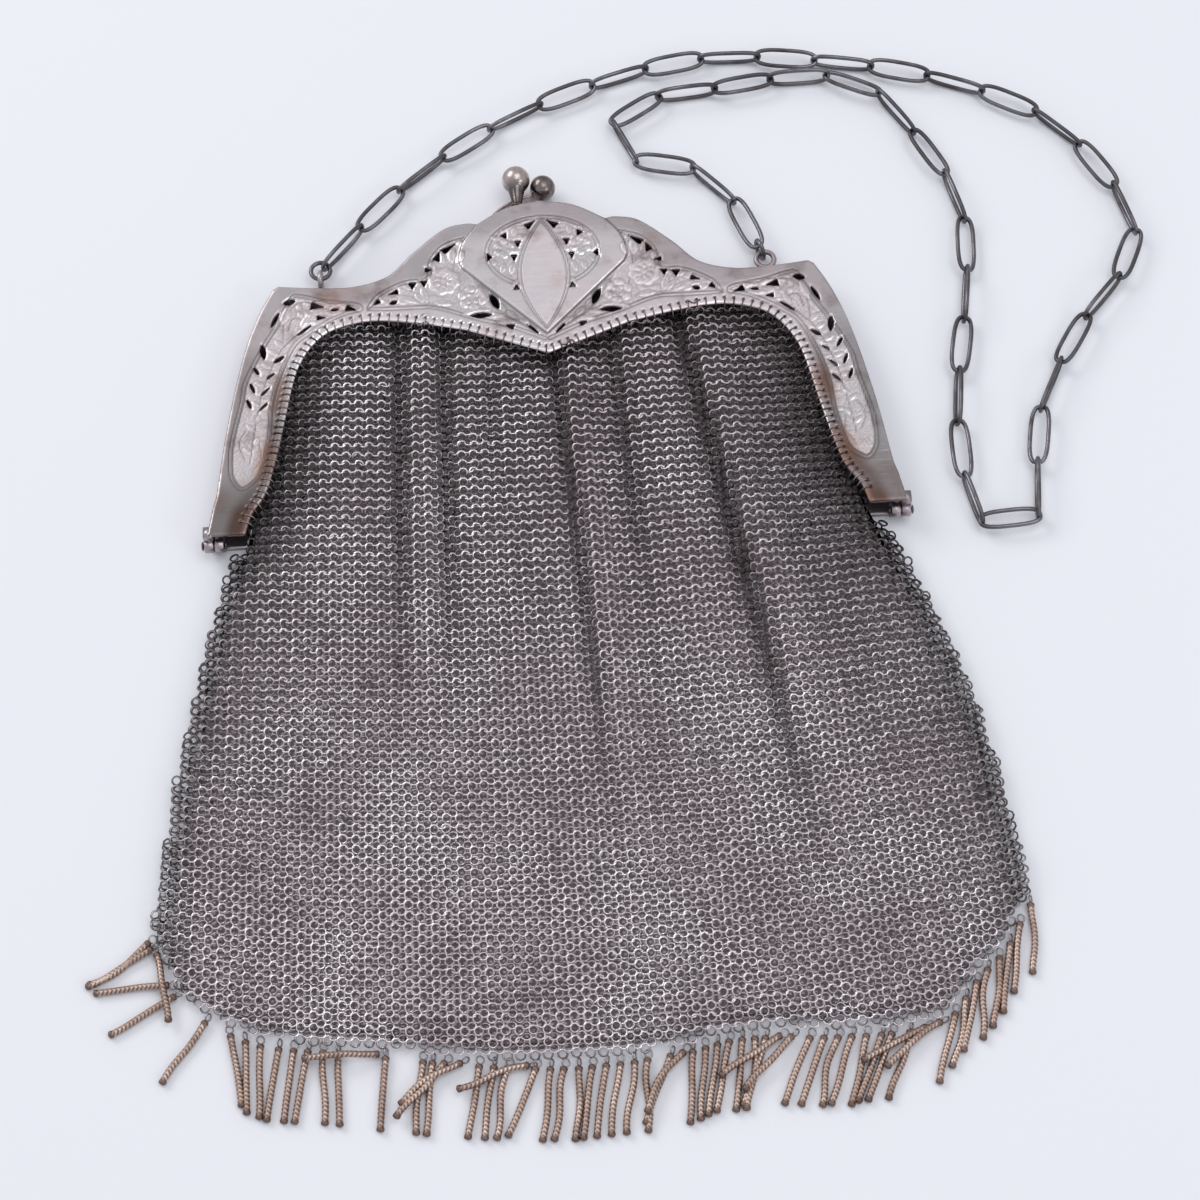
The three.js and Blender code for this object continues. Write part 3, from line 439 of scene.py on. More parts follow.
def cubic(b, c, leave, arrive, t):
    """The cubic from b to c that leaves and arrives with given slopes."""
    return ((2 * b - 2 * c + leave + arrive) * t ** 3 + (3 * c - 3 * b - 2 * leave - arrive) * t ** 2
            + leave * t + b)


def curve(points, steps):
    """Catmull-Rom: each stretch is a cubic through its two points, its slopes from the next ones."""
    points = np.asarray(points, float)
    place = np.linspace(0, len(points) - 1, steps + 1)
    i = np.minimum(place.astype(int), len(points) - 2)
    t = (place - i)[:, None]
    a, b, c, d = points[np.clip(np.stack([i - 1, i, i + 1, i + 2]), 0, len(points) - 1)]
    return cubic(b, c, (c - a) / 2, (d - b) / 2, t)


def gaps_of(line):
    return np.linalg.norm(np.diff(line, axis=0), axis=1)


def thinned(line, gap):
    """A line without the points that stand too close to the one before them."""
    return line[np.r_[True, gaps_of(line) > gap]]


def on_line(line, stops):
    """Points of a line at given distances from its start."""
    run = np.r_[0, np.cumsum(gaps_of(line))]
    return np.column_stack([np.interp(stops, run, line[:, k]) for k in range(line.shape[1])])


OUTER = [
    [[0, 0.2508], [0.1005, 0.232], [0.1925, 0.1825]],
    [[0.1925, 0.1825], [0.23, 0.186], [0.297, 0.169], [0.392, 0.094], [0.464, 0.027], [0.569, -0.002],
     [0.69, 0.001], [0.789, 0.011]],
    [[0.806, 0.001], [0.851, -0.084], [0.896, -0.213], [0.942, -0.4255], [0.973, -0.6327]],
    [[0.983, -0.6663], [1, LEG_END]],
]
INNER = [
    [[0, -0.243], [0.242, -0.157]],
    [[0.242, -0.157], [0.387, -0.1277], [0.5206, -0.1142], [0.6295, -0.1366], [0.684, -0.1747],
     [0.724, -0.2307], [0.7506, -0.3024], [0.792, -0.4927], [0.823, -0.6103]],
    [[0.823, -0.6103], [0.8414, -0.6495], [0.8717, -0.692], [0.891, LEG_END]],
]
SCALE = np.array([HALF, FRAME_TALL])


def whole_line(stretches, fineness=14):
    """The right half's stretches in turn, mirrored, from the left leg end to the right one."""
    parts = [curve(np.array(at) * SCALE, fineness * (len(at) - 1)) for at in stretches]
    half = thinned(np.concatenate(parts), SAME_PLACE)
    return np.concatenate([half[:0:-1] * (-1, 1), half])


outer_line = whole_line(OUTER)
inner_line = whole_line(INNER)
jaw_outline = np.concatenate([outer_line, inner_line[::-1]])
print("outline points:", len(jaw_outline))


def height_on(line, x):
    """Height of a line that runs from left to right, at a place across it."""
    return np.interp(x, line[:, 0], line[:, 1])


# %% [markdown]
# A pierced and engraved plate could be cut with booleans, but every leaf and line would then be its
# own cutter. Here the plate is a fine square grid instead. Two questions are asked of all its points
# at once: how far is the outline, and how far is the nearest opening. Cells outside go, and the
# points along the new border are moved onto it, so the outline comes out smooth.

# %% Distances to lines and outlines
def nearest(points, line):
    """Distance from each point to a line of straight pieces, and the nearest place on it."""
    start, step = line[:-1], np.diff(line, axis=0)
    length = np.maximum((step ** 2).sum(1), 1e-12)
    distances, places = [], []
    for some in np.array_split(points, max(1, len(points) * len(step) // 2_000_000 + 1)):
        share = ((some[:, None] - start) * step).sum(-1) / length
        place = start + np.clip(share, 0, 1)[..., None] * step
        gap = ((some[:, None] - place) ** 2).sum(-1)
        best = gap.argmin(1)
        distances.append(np.sqrt(gap[np.arange(len(some)), best]))
        places.append(place[np.arange(len(some)), best])
    return np.concatenate(distances), np.concatenate(places)


def inside(points, outline):
    """A point is inside where a ray from it crosses the outline an odd number of times."""
    a, b = outline, np.roll(outline, -1, 0)
    answers = []
    for some in np.array_split(points, max(1, len(points) * len(a) // 4_000_000 + 1)):
        x, y = some[:, :1], some[:, 1:]
        spans = (a[:, 1] > y) != (b[:, 1] > y)
        rise = np.where(b[:, 1] == a[:, 1], 1e-9, b[:, 1] - a[:, 1])
        crossing = x < a[:, 0] + (y - a[:, 1]) / rise * (b[:, 0] - a[:, 0])
        answers.append((spans & crossing).sum(1) % 2 == 1)
    return np.concatenate(answers)


def depth_in(points, outline):
    """Distance to an outline, above zero inside it and below zero outside, and the nearest place."""
    distance, place = nearest(points, np.concatenate([outline, outline[:1]]))
    return np.where(inside(points, outline), distance, -distance), place


def smooth(value, low, high):
    share = np.clip((value - low) / (high - low), 0, 1)
    return share * share * (3 - 2 * share)


UNDERSIDE_MARKS = (0.0, 0.7, 0.0)


def cut_sheet(outline, holes, cell, low, high, relief):
    """A plate with openings: a grid clipped to the outline, with relief on top and walls all round."""
    first, last = outline.min(0) - cell, outline.max(0) + cell
    xs = np.arange(first[0], last[0] + cell, cell)
    ys = np.arange(first[1], last[1] + cell, cell)
    points = np.stack(np.meshgrid(xs, ys, indexing="ij"), -1).reshape(-1, 2)
    depth, border = depth_in(points, outline)
    for hole in holes:
        close = np.all((points > hole.min(0) - 3 * cell) & (points < hole.max(0) + 3 * cell), axis=1)
        room, place = depth_in(points[close], hole)
        nearer = -room < depth[close]
        where = np.flatnonzero(close)[nearer]
        depth[where] = -room[nearer]
        border[where] = place[nearer]
    quads = grid_faces(len(xs), len(ys))
    quads = quads[depth[quads].mean(1) > 0]
    uses = np.bincount(quads.ravel(), minlength=len(points))
    edge = (uses > 0) & (uses < 4)
    points[edge] = border[edge]
    used = np.flatnonzero(uses)
    renumber = np.zeros(len(points), int)
    renumber[used] = np.arange(len(used))
    quads, plan = renumber[quads], points[used]
    height, *marks = relief(plan, np.where(edge, 0.0, depth)[used])
    top = np.column_stack([plan, high + height])
    bottom = np.column_stack([plan, np.full(len(plan), low)])
    sides = np.stack([quads, np.roll(quads, -1, 1)], -1).reshape(-1, 2)
    key = sides.min(1) * len(plan) + sides.max(1)
    _, index, count = np.unique(key, return_index=True, return_counts=True)
    a, b = sides[index[count == 1]].T
    walls = np.stack([a + len(plan), b + len(plan), b, a], -1)
    faces = np.concatenate([quads, quads[:, ::-1] + len(plan), walls])
    marks = [np.concatenate([mark, 0 * mark + under]) for mark, under in zip(marks, UNDERSIDE_MARKS)]
    return np.concatenate([top, bottom]), faces, marks


# %% [markdown]
# The openings are small leaves and three-sided barbs between the flowers. Each row below gives one
# on the right half: its middle, length and width as shares of the frame, and the way it points.

# %% Openings of the front plate
PIERCINGS = [
    ("barb", 0.028, 0.176, 0.032, 0.018, 140), ("barb", 0.117, 0.138, 0.017, 0.02, 0),
    ("barb", 0.073, 0.106, 0.021, 0.016, 270), ("barb", 0.158, 0.07, 0.014, 0.026, 180),
    ("barb", 0.086, 0.062, 0.02, 0.017, 270), ("barb", 0.083, -0.029, 0.018, 0.016, 90),
    ("barb", 0.273, 0.114, 0.042, 0.015, 145), ("barb", 0.313, 0.087, 0.027, 0.018, 110),
    ("barb", 0.341, 0.041, 0.018, 0.014, 180), ("barb", 0.358, -0.004, 0.018, 0.018, 270),
    ("barb", 0.393, -0.01, 0.02, 0.02, 270), ("leaf", 0.151, -0.071, 0.062, 0.022, 66),
    ("leaf", 0.192, -0.113, 0.072, 0.02, 0), ("barb", 0.114, -0.151, 0.024, 0.013, 20),
    ("leaf", 0.041, -0.165, 0.058, 0.009, 47), ("barb", 0.454, -0.029, 0.027, 0.014, 340),
    ("leaf", 0.45, -0.059, 0.028, 0.015, 160), ("barb", 0.503, -0.059, 0.022, 0.013, 320),
    ("barb", 0.571, -0.073, 0.029, 0.016, 200), ("leaf", 0.624, -0.072, 0.031, 0.012, 172),
    ("barb", 0.672, -0.059, 0.032, 0.021, 190), ("barb", 0.661, -0.095, 0.023, 0.014, 180),
    ("leaf", 0.714, -0.132, 0.068, 0.011, 142), ("leaf", 0.758, -0.041, 0.041, 0.02, 165),
    ("leaf", 0.801, -0.096, 0.063, 0.013, 115), ("leaf", 0.837, -0.195, 0.057, 0.018, 83),
    ("leaf", 0.79, -0.221, 0.044, 0.014, 146), ("leaf", 0.857, -0.255, 0.042, 0.01, 60),
    ("leaf", 0.814, -0.271, 0.037, 0.01, 143), ("leaf", 0.869, -0.307, 0.048, 0.01, 70),
    ("leaf", 0.832, -0.32, 0.045, 0.01, 134), ("leaf", 0.879, -0.356, 0.046, 0.01, 70),
    ("leaf", 0.837, -0.366, 0.045, 0.01, 133),
]


def turned_plan(points, degrees):
    """Points of the plan turned round the origin."""
    c, s = math.cos(math.radians(degrees)), math.sin(math.radians(degrees))
    return points @ np.array([[c, s], [-s, c]])


def whole_shape(half, flip=(-1, 1)):
    """A closed outline from its half and the half's mirror image."""
    return np.concatenate([half, half[-2:0:-1] * flip])


def leaf_shape(long, wide, steps=12):
    """A leaf along X: its half width is a sine, drawn out to a point at both ends."""
    t = np.linspace(0, 1, steps + 1)
    edge = np.column_stack([(t - 0.5) * long, 0.5 * wide * np.sin(np.pi * t) ** 0.85])
    return whole_shape(edge, (1, -1))


def barb_shape(long, wide):
    """A barb: a point ahead, two horns behind, and its three sides drawn a little inwards."""
    ahead, up, down = [long / 2, 0], [-long / 2, wide / 2], [-long / 2, -wide / 2]
    corners = np.array([ahead, up, down], float)
    sides = []
    for a, b in zip(corners, np.roll(corners, -1, 0)):
        t = np.linspace(0, 1, 6)[:-1, None]
        inward = 0.06 * wide * unit(-(a + b) / 2)
        sides.append(a + (b - a) * t + inward * 4 * t * (1 - t))
    return np.concatenate(sides)


def mirrored(outlines):
    """Every outline of the right half, each followed by its mirror image."""
    return [half for outline in outlines for half in (outline, outline[::-1] * (-1, 1))]


BARB_GROW = 1.55


def opening(form, x, y, long, wide, turn):
    """One row of the list as an outline. The barbs are drawn larger than their rows say."""
    if form == "barb":
        shape = barb_shape(long * BARB_GROW * HALF, wide * BARB_GROW * HALF)
    else:
        shape = leaf_shape(long * HALF, wide * HALF)
    return turned_plan(shape, turn) + (x * HALF, y * FRAME_TALL)


openings = mirrored(opening(*row) for row in PIERCINGS)
print("openings:", len(openings))

# %% [markdown]
# Engraving is the same idea in the third direction: a groove is a little valley along a line, and a
# leaf in relief is a low pillow inside its outline. Where several meet, the highest value counts.
# The depth of every groove is kept as a mark, so that tarnish can settle in it. Two more marks keep
# how bright the hand has polished each place and where warm stain is left.

# %% Lines and leaves of the ornament
SHIELD_PROUD = 0.5
SHIELD_SIDE = np.array([[0.1925, 0.1825], [0.238, 0.125], [0.253, 0.067], [0.243, 0.037]])
shield_side = curve(SHIELD_SIDE * SCALE, 20)
crown_line = curve(np.array(OUTER[0]) * SCALE, 24)
shield = whole_shape(np.concatenate([crown_line, shield_side[1:], [[0, -0.187 * FRAME_TALL]]]))


def arc(centre, radii, start, end, steps=28):
    """Part of an ellipse, from one angle to another in degrees."""
    angle = np.radians(np.linspace(start, end, steps))
    return np.column_stack([centre[0] + radii[0] * np.cos(angle), centre[1] + radii[1] * np.sin(angle)])


def marquise(top, bottom, half_width, grow):
    """A pointed oval from top to bottom, grown on all sides."""
    t = np.linspace(0, 1, 40)
    y = top + grow + (bottom - top - 2 * grow) * t
    return whole_shape(np.column_stack([(half_width + grow) * np.sin(np.pi * t) ** 0.9, y]))


def leaf_between(x0, y0, x1, y1, wide):
    """A leaf from its foot to its tip."""
    long = math.hypot(x1 - x0, y1 - y0)
    turn = math.degrees(math.atan2(y1 - y0, x1 - x0))
    return turned_plan(leaf_shape(long, wide), turn) + ((x0 + x1) / 2, (y0 + y1) / 2)


def bloom(x, y, radius, petals, turn):
    """Petals as leaves that stand round a centre, in an outer and an inner ring."""
    made = []
    for share, count, start in ((1.0, petals, turn), (0.55, petals - 2, turn + 30)):
        leaf = leaf_shape(radius * 0.6 * share, radius * 0.7 * share) + (radius * 0.66 * share, 0)
        made += [turned_plan(leaf, start + 360 * k / count) + (x, y) for k in range(count)]
    return made


# Leaves in relief on the right half, in millimetres: foot, tip and width.
LEAVES = [
    (21.4, 4.6, 19.6, 8.6, 2.2), (22.6, 5.0, 22.2, 10.0, 2.3), (24.4, 5.2, 26.0, 8.6, 2.2),
    (20.2, 9.6, 20.6, 12.4, 1.7), (27.0, 3.6, 27.6, 6.0, 1.6),
    (28.9, -6.2, 30.2, -0.9, 1.9), (29.6, -6.0, 32.0, -2.8, 1.7), (30.6, -5.9, 36.6, -3.3, 1.9),
    (33.4, -6.0, 38.3, -3.9, 1.7), (35.8, -6.2, 40.9, -4.6, 1.5), (31.4, -1.6, 35.0, -0.7, 1.4),
    (13.6, -6.4, 16.0, -1.6, 2.2), (12.0, -8.0, 13.4, -4.0, 1.9), (13.2, -8.6, 20.8, -9.6, 1.8),
    (9.8, -9.6, 12.0, -6.6, 1.7), (9.6, -10.6, 16.6, -10.4, 1.7), (7.0, -11.6, 9.6, -9.2, 1.5),
    (6.6, -12.6, 12.4, -12.4, 1.5), (4.0, -13.8, 6.6, -11.8, 1.3), (22.2, -6.6, 27.6, -6.0, 1.7),
    (46.6, -6.6, 51.4, -4.9, 1.8), (49.0, -7.2, 54.4, -7.6, 1.8), (52.4, -5.4, 56.2, -4.0, 1.6),
    (62.6, -4.6, 64.6, -10.4, 2.3), (60.0, -11.6, 58.0, -7.6, 1.7), (56.4, -10.8, 61.0, -12.6, 1.6),
    (64.2, -16.6, 66.4, -14.3, 1.5), (65.4, -18.8, 67.9, -17.0, 1.5), (64.9, -20.8, 63.4, -18.3, 1.4),
    (67.0, -22.4, 69.7, -20.7, 1.5), (67.6, -25.4, 66.0, -23.0, 1.4), (68.7, -27.2, 71.4, -25.8, 1.4),
    (69.0, -29.4, 67.8, -27.1, 1.3), (69.9, -32.6, 72.2, -31.4, 1.3), (70.0, -34.0, 68.7, -31.7, 1.2),
    (70.8, -37.4, 70.1, -35.0, 1.1), (71.4, -39.6, 73.4, -37.4, 1.2), (71.6, -43.6, 70.2, -41.0, 1.1),
    (72.0, -46.0, 74.2, -43.6, 1.2),
    (7.0, 11.6, 6.6, 14.6, 1.5), (9.4, 12.0, 9.8, 14.4, 1.4), (11.2, 10.8, 12.6, 12.2, 1.3),
    (7.2, 4.4, 8.2, 0.6, 1.6), (9.6, 4.2, 10.4, 1.0, 1.5), (6.6, -0.6, 7.6, -3.0, 1.2),
    (11.6, 5.4, 12.6, 3.4, 1.3),
]
# Blooms: middle, radius, number of outer petals and the turn of the first one.
BLOOMS = [(9.4, 8.3, 3.1, 6, 90), (24.7, 0.1, 4.4, 8, 60), (17.9, -5.2, 3.9, 6, 20),
          (58.8, -6.2, 2.6, 5, 100)]
# Engraved lines on the right half: stems and scrolls, each through a few points.
STEMS = [
    [(3.0, -15.0), (8.2, -11.8), (13.4, -9.0), (17.4, -8.6)], [(20.6, -3.0), (22.0, 2.6), (21.4, 9.6)],
    [(28.0, -6.0), (33.4, -4.8), (38.6, -4.9)], [(46.0, -7.0), (51.0, -6.2), (56.0, -6.0)],
    [(56.6, -4.0), (61.0, -4.4), (63.8, -9.4), (64.2, -15.0)], [(58.4, -9.6), (61.6, -8.4), (63.0, -12.0)],
    [(60.4, -12.6), (64.6, -17.2), (67.4, -23.0), (69.6, -30.0), (71.0, -38.0), (72.4, -48.0)],
    [(73.4, -39.0), (75.0, -43.0), (73.6, -47.0)], [(70.2, -43.0), (69.8, -47.0), (71.6, -50.0)],
    [(19.4, -5.2), (18.4, -3.6), (16.4, -4.4), (16.6, -6.8), (19.4, -6.8)],
    [(26.2, 0.2), (24.8, 1.6), (23.2, 0.6), (23.6, -1.2), (25.8, -1.2)],
]
# Double lines that frame the two fields of ornament on the right half.
UPPER = [(19.4, 12.2), (24.4, 10.3), (27.6, 6.3), (28.6, 1.1), (33.4, 0.5), (36.8, -0.7),
         (41.0, -3.3), (43.2, -6.4)]
LOWER = [(43.2, -6.8), (35.0, -7.1), (27.0, -7.3), (17.7, -10.8), (9.6, -13.4), (4.7, -15.6),
         (0.6, -17.6)]
BESIDE_SHIELD = [[12.0, -8.6], [16.0, -2.0], [18.6, 4.2], [20.1, 6.7]]
FIELD = [
    (45.1, -6.8), (46.1, -5.4), (54.2, -3.8), (60.1, -2.1), (62.2, -2.8), (64.7, -8.6), (68.9, -16.0),
    (73.2, -25.4), (74.3, -31.5), (76.7, -42.6), (77.0, -50.0), (76.0, -53.3), (74.1, -54.9), (70.9, -52.6),
    (69.5, -49.5), (67.8, -41.1), (67.2, -33.1), (65.4, -25.5), (61.8, -16.6), (57.8, -12.8), (53.7, -10.0),
    (49.4, -7.9), (45.1, -6.8),
]
MEDAL_FOOT = [[-3.6, -5.4], [0.0, -13.4], [3.6, -5.4]]
upper, lower, field_line = curve(UPPER, 60), curve(LOWER, 50), curve(FIELD, 120)
fields = mirrored([field_line, np.concatenate([upper, lower[1:], BESIDE_SHIELD])])
medal = np.concatenate([arc((0, 7.0), (13.6, 10.0), -58, 238, 90), MEDAL_FOOT])
marquise_lines = [marquise(16.6, -15.2, 6.4, grow) for grow in (0.0, -0.8)]
shoulder_lines = mirrored([upper, lower])
field_lines = mirrored([field_line]) + [arc((0, 7.0), (13.8, 10.2), -60, 240, 90)]
fine_lines = [np.concatenate([line, line[:1]]) for line in marquise_lines]
fine_lines += mirrored(curve(stem, 10 * len(stem)) for stem in STEMS)
veins = mirrored(np.array([[x0, y0], [x0 + 0.7 * (x1 - x0), y0 + 0.7 * (y1 - y0)]])
                 for x0, y0, x1, y1, _ in LEAVES)
relief_shapes = mirrored([leaf_between(*row) for row in LEAVES]
                         + [petal for row in BLOOMS for petal in bloom(*row)])
print("leaves and petals:", len(relief_shapes))
print("lines:", len(shoulder_lines + field_lines + fine_lines + veins))

# %% [markdown]
# Small holes for the binding wire follow the inner edge of the plate, and a few reddish spots of old
# stain lie on it. The numbers of the relief stand here together, all of them in millimetres.

# %% Holes and spots of the front plate
DOUBLE_STEP, LINE_REACH, STROKE_STEP = 0.45, 0.34, 1.15
GROOVE_DEEP, GROUND_DEEP, LEAF_PROUD, EDGE_ROUND = 0.12, 0.05, 0.11, 0.14
HOLE_IN, HOLE_R, HOLE_DEEP = 1.8, 0.5, 0.35
STITCH_LEG, STITCH_EXTRA, STITCH_LOW = 1.8, 0.4, -64.5
# Reddish spots: middle, reach and strength.
RED_SPOTS = [(-52.0, -3.0, 3.4, 0.45), (-46.0, -1.0, 2.6, 0.3), (26.8, 9.4, 2.8, 0.35),
             (-80.5, -57.0, 2.6, 0.3), (52.0, -1.4, 3.0, 0.25), (3.0, -2.0, 2.0, 0.2),
             (20.0, 17.6, 3.0, 0.25)]


def spots(x, y, rows):
    """A bell round the middle of each spot, times its strength, all of them added."""
    return sum(strength * np.exp(-((x - at_x) ** 2 + (y - at_y) ** 2) / reach ** 2)
               for at_x, at_y, reach, strength in rows)


def stitch_places():
    """Places along the inner edge, closer together on the legs than in the middle."""
    run = np.r_[0, np.cumsum(gaps_of(inner_line))]
    keep = inner_line[:, 1] > STITCH_LOW
    at, stops = run[keep][0], []
    while at < run[keep][-1]:
        stops.append(at)
        x = abs(np.interp(at, run, inner_line[:, 0]))
        at += STITCH_LEG + STITCH_EXTRA * float(smooth(-x, -62, -46))
    return on_line(inner_line, stops)


stitches = stitch_places()
stitch_run = unit(np.gradient(stitches, axis=0))
inward = np.column_stack([stitch_run[:, 1], -stitch_run[:, 0]])
hole_places = stitches - HOLE_IN * inward
print("holes for the binding wire:", len(hole_places))

# %% [markdown]
# Each mark is worked out on its own: the hatched ground, the lines, the leaves, the strokes. A line or
# a leaf only matters near its own box, so its distances are asked there and nowhere else.

# %% Marks of the engraving
def close_to(points, line, reach):
    """Which points are near a line's box."""
    return np.flatnonzero(np.all((points > line.min(0) - reach) & (points < line.max(0) + reach), axis=1))


def raise_near(mark, points, shape, reach, value):
    """Near a shape, a mark rises to the value that a function gives for the points there."""
    close = close_to(points, shape, reach)
    mark[close] = np.maximum(mark[close], value(points[close]))


def ground_mark(points, on_shield):
    """The hatched ground: the fields beside the shield, and the medal on it outside the marquise."""
    ground = np.zeros(len(points))
    for field in fields:
        raise_near(ground, points, field, 1, lambda some: smooth(depth_in(some, field)[0], 0.3, 0.9))
    ground[on_shield] = 0
    raise_near(ground, points, medal, 1, lambda some: smooth(depth_in(some, medal)[0], 0.3, 0.9)
               * (1 - smooth(depth_in(some, marquise_lines[0])[0], -0.6, 0.0)))
    return ground


def line_grooves(points, shield_depth):
    """A double line has a groove on either side, a fine line has one on it, the shield one round it."""
    groove = np.zeros(len(points))
    beside = np.where(shield_depth > 0.4, 0.0, 1.0)
    for lines, offset, under_shield in ((shoulder_lines, DOUBLE_STEP, True),
                                        (field_lines, DOUBLE_STEP, False), (fine_lines, 0.0, False)):
        for line in lines:
            close = close_to(points, line, 2)
            gap = np.abs(nearest(points[close], line)[0] - offset)
            drawn = 0.8 * (1 - smooth(gap, 0.02, LINE_REACH)) * (beside[close] if under_shield else 1.0)
            groove[close] = np.maximum(groove[close], drawn)
    edge = 0.8 * (1 - smooth(np.abs(shield_depth - 0.1), 0.05, 0.4)) * (shield_depth < 0.3)
    return np.maximum(groove, edge)


def leaf_marks(points):
    """The pillow of each leaf and petal, and the line round its rim."""
    pillow, rim = np.zeros(len(points)), np.zeros(len(points))
    for shape in relief_shapes:
        close = close_to(points, shape, 0.7)
        room, _ = depth_in(points[close], shape)
        pillow[close] = np.maximum(pillow[close], smooth(room, -0.1, 0.6))
        rim[close] = np.maximum(rim[close], 1 - smooth(np.abs(room + 0.12), 0.0, 0.34))
    return pillow, rim


def strokes(points):
    """Waves of fine engraved strokes: the first for the ground, the second for the leaves."""
    x, y = np.abs(points[:, 0]), points[:, 1]
    on_ground = 0.6 * x + y + 1.3 * np.sin(0.6 * x) + 0.8 * np.sin(0.8 * y)
    on_leaf = 0.9 * x - 0.7 * y + 0.6 * np.sin(0.9 * y)
    return [smooth(np.sin(2 * np.pi * run / STROKE_STEP), 0.2, 0.9) for run in (on_ground, on_leaf)]


def polish_and_warmth(points, shield_depth, ground, pillow):
    """How bright the hand has polished each place, and how much warm stain is left on it."""
    x, y = points.T
    inner, outer = nearest(points, inner_line)[0], nearest(points, outer_line)[0]
    middle, _ = depth_in(points, marquise_lines[0])
    leg = smooth(np.abs(x), 60, 67) * smooth(-y, 12, 24)
    polish = 0.64
    for gain, where in (
            (0.28, (shield_depth > 0.3) * (1 - smooth(y, 9, 16))),  # shield below its crown
            (0.16, smooth(middle, -0.4, 0.2)),  # the pointed oval in its middle
            (0.36, ground),
            (0.26, (1 - smooth(inner, 4.0, 5.6)) * (1 - leg)),  # plain band along the mouth
            (-0.10, smooth(-y, 50, 62)),  # ends of the legs
            (0.10, pillow),
            (-0.10, leg * (1 - smooth(inner, 3, 6))),  # inner side of the legs
            (-0.10, leg),
            (-0.10, leg * (1 - ground)),
            (0.12, 1 - smooth(outer, 0.1, 0.9)),  # outer edge
            (0.2, 1 - smooth(inner, 0.4, 1.6))):  # inner edge
        polish = polish + gain * where
    seam = leg * (1 - smooth(inner, 2.5, 6.0)) * smooth(np.sin(0.35 * y + 0.7 * np.sign(x)), -1.6, 0.7)
    warm = 0.7 * seam + 0.26 * smooth(-y, 48, 60) + spots(x, y, RED_SPOTS)
    return np.clip(polish, 0, 1), np.clip(warm, 0, 0.8)


# %% [markdown]
# The relief puts the marks together. Leaves stand over the lines, the strokes go into what is left,
# and the small holes for the binding wire are sunk last. Tarnish settles wherever the groove mark is.

# %% Relief of the front plate
def front_relief(points, depth):
    """Height of the engraved front over its plate, then its marks: grooves, polish and warmth."""
    shield_depth, _ = depth_in(points, shield)
    ground = ground_mark(points, shield_depth > 0)
    groove = line_grooves(points, shield_depth)
    pillow, rim = leaf_marks(points)
    groove = np.maximum(groove * (1 - pillow), 0.5 * rim * (1 - 0.8 * pillow))
    for line in veins:
        raise_near(groove, points, line, 1,
                   lambda some: 0.45 * (1 - smooth(nearest(some, line)[0], 0, 0.3)))
    on_ground, on_leaf = strokes(points)
    groove = np.maximum(groove, 0.4 * ground * (1 - pillow) * on_ground)
    groove = np.maximum(groove, 0.34 * ground * pillow * on_leaf)
    height = SHIELD_PROUD * smooth(shield_depth, -0.15, 0.35)
    height += LEAF_PROUD * pillow - GROUND_DEEP * ground - GROOVE_DEEP * groove
    for hole in hole_places:
        close = close_to(points, hole[None], 0.9)
        gap = np.hypot(*(points[close] - hole).T)
        groove[close] = np.maximum(groove[close], 1 - smooth(gap, HOLE_R * 0.6, HOLE_R * 1.4))
        height[close] -= HOLE_DEEP * (1 - smooth(gap, HOLE_R * 0.5, HOLE_R))
    height -= EDGE_ROUND * (1 - smooth(depth, 0.0, 0.45))
    speckle = rng.uniform(0, 1, len(points))
    groove = np.maximum(groove * 0.8, 0.3 * ground * speckle ** 2 * (1 - pillow))
    polish, warm = polish_and_warmth(points, shield_depth, ground, pillow)
    return height, np.clip(groove, 0, 1), polish, warm


# %% [markdown]
# The rims are narrow walls that run round the outside of each jaw. Their section is a small
# rounded bar, carried along the outer line.

# %% The jaws
def wall_section(wide, tall, round_share=0.35, steps=4):
    """A standing bar with round corners, from corner arcs in turn."""
    radius = round_share * wide
    half = np.array([wide / 2 - radius, tall / 2 - radius])
    points = []
    for start, sign in ((0, (1, 1)), (90, (-1, 1)), (180, (-1, -1)), (270, (1, -1))):
        angle = np.radians(np.linspace(start, start + 90, steps))
        points.append(half * sign + radius * np.column_stack([np.cos(angle), np.sin(angle)]))
    return np.concatenate(points)


def moved_in(line, distance):
    """A line that runs left to right, moved to its right-hand side."""
    ahead = unit(np.gradient(line, axis=0))
    return line + distance * np.column_stack([ahead[:, 1], -ahead[:, 0]])


def closed_ends(path):
    """A path with its ends doubled, and the swell that closes a sweep there."""
    path = np.concatenate([path[:1], path, path[-1:]])
    swell = np.ones(len(path))
    swell[[0, -1]] = 0.0
    return path, swell


RIM_WIDE, RIM_IN, RIM_STEP = 1.0, 0.52, 0.25


def rim_wall(low, high):
    """The wall round the outside of a jaw. Points that stand too close together are left out."""
    line = moved_in(thinned(outer_line, RIM_STEP), RIM_IN)
    path = np.column_stack([line, np.full(len(line), (low + high) / 2)])
    path, swell = closed_ends(path)
    path[0] += (path[1] - path[2]) * 1e-3
    return sweep(path[None], UP, wall_section(RIM_WIDE, high - low), False, swell)


KNUCKLE_R, KNUCKLE_LONG, BARREL_IN = 1.65, 2.15, 79.0
hinge_y = LEG_END * FRAME_TALL - 0.6


def knuckle(side, start):
    """A short barrel on the hinge axis, with its edges rounded and its bore left open."""
    r, e, bore, long = KNUCKLE_R, 0.18, 0.8, KNUCKLE_LONG
    profile = [(bore, 0), (r - e, 0), (r, e), (r, long - e), (r - e, long), (bore, long), (bore, 0)]
    return turned(profile, np.array([side * start, hinge_y, MID]), (side, 0, 0), 20)


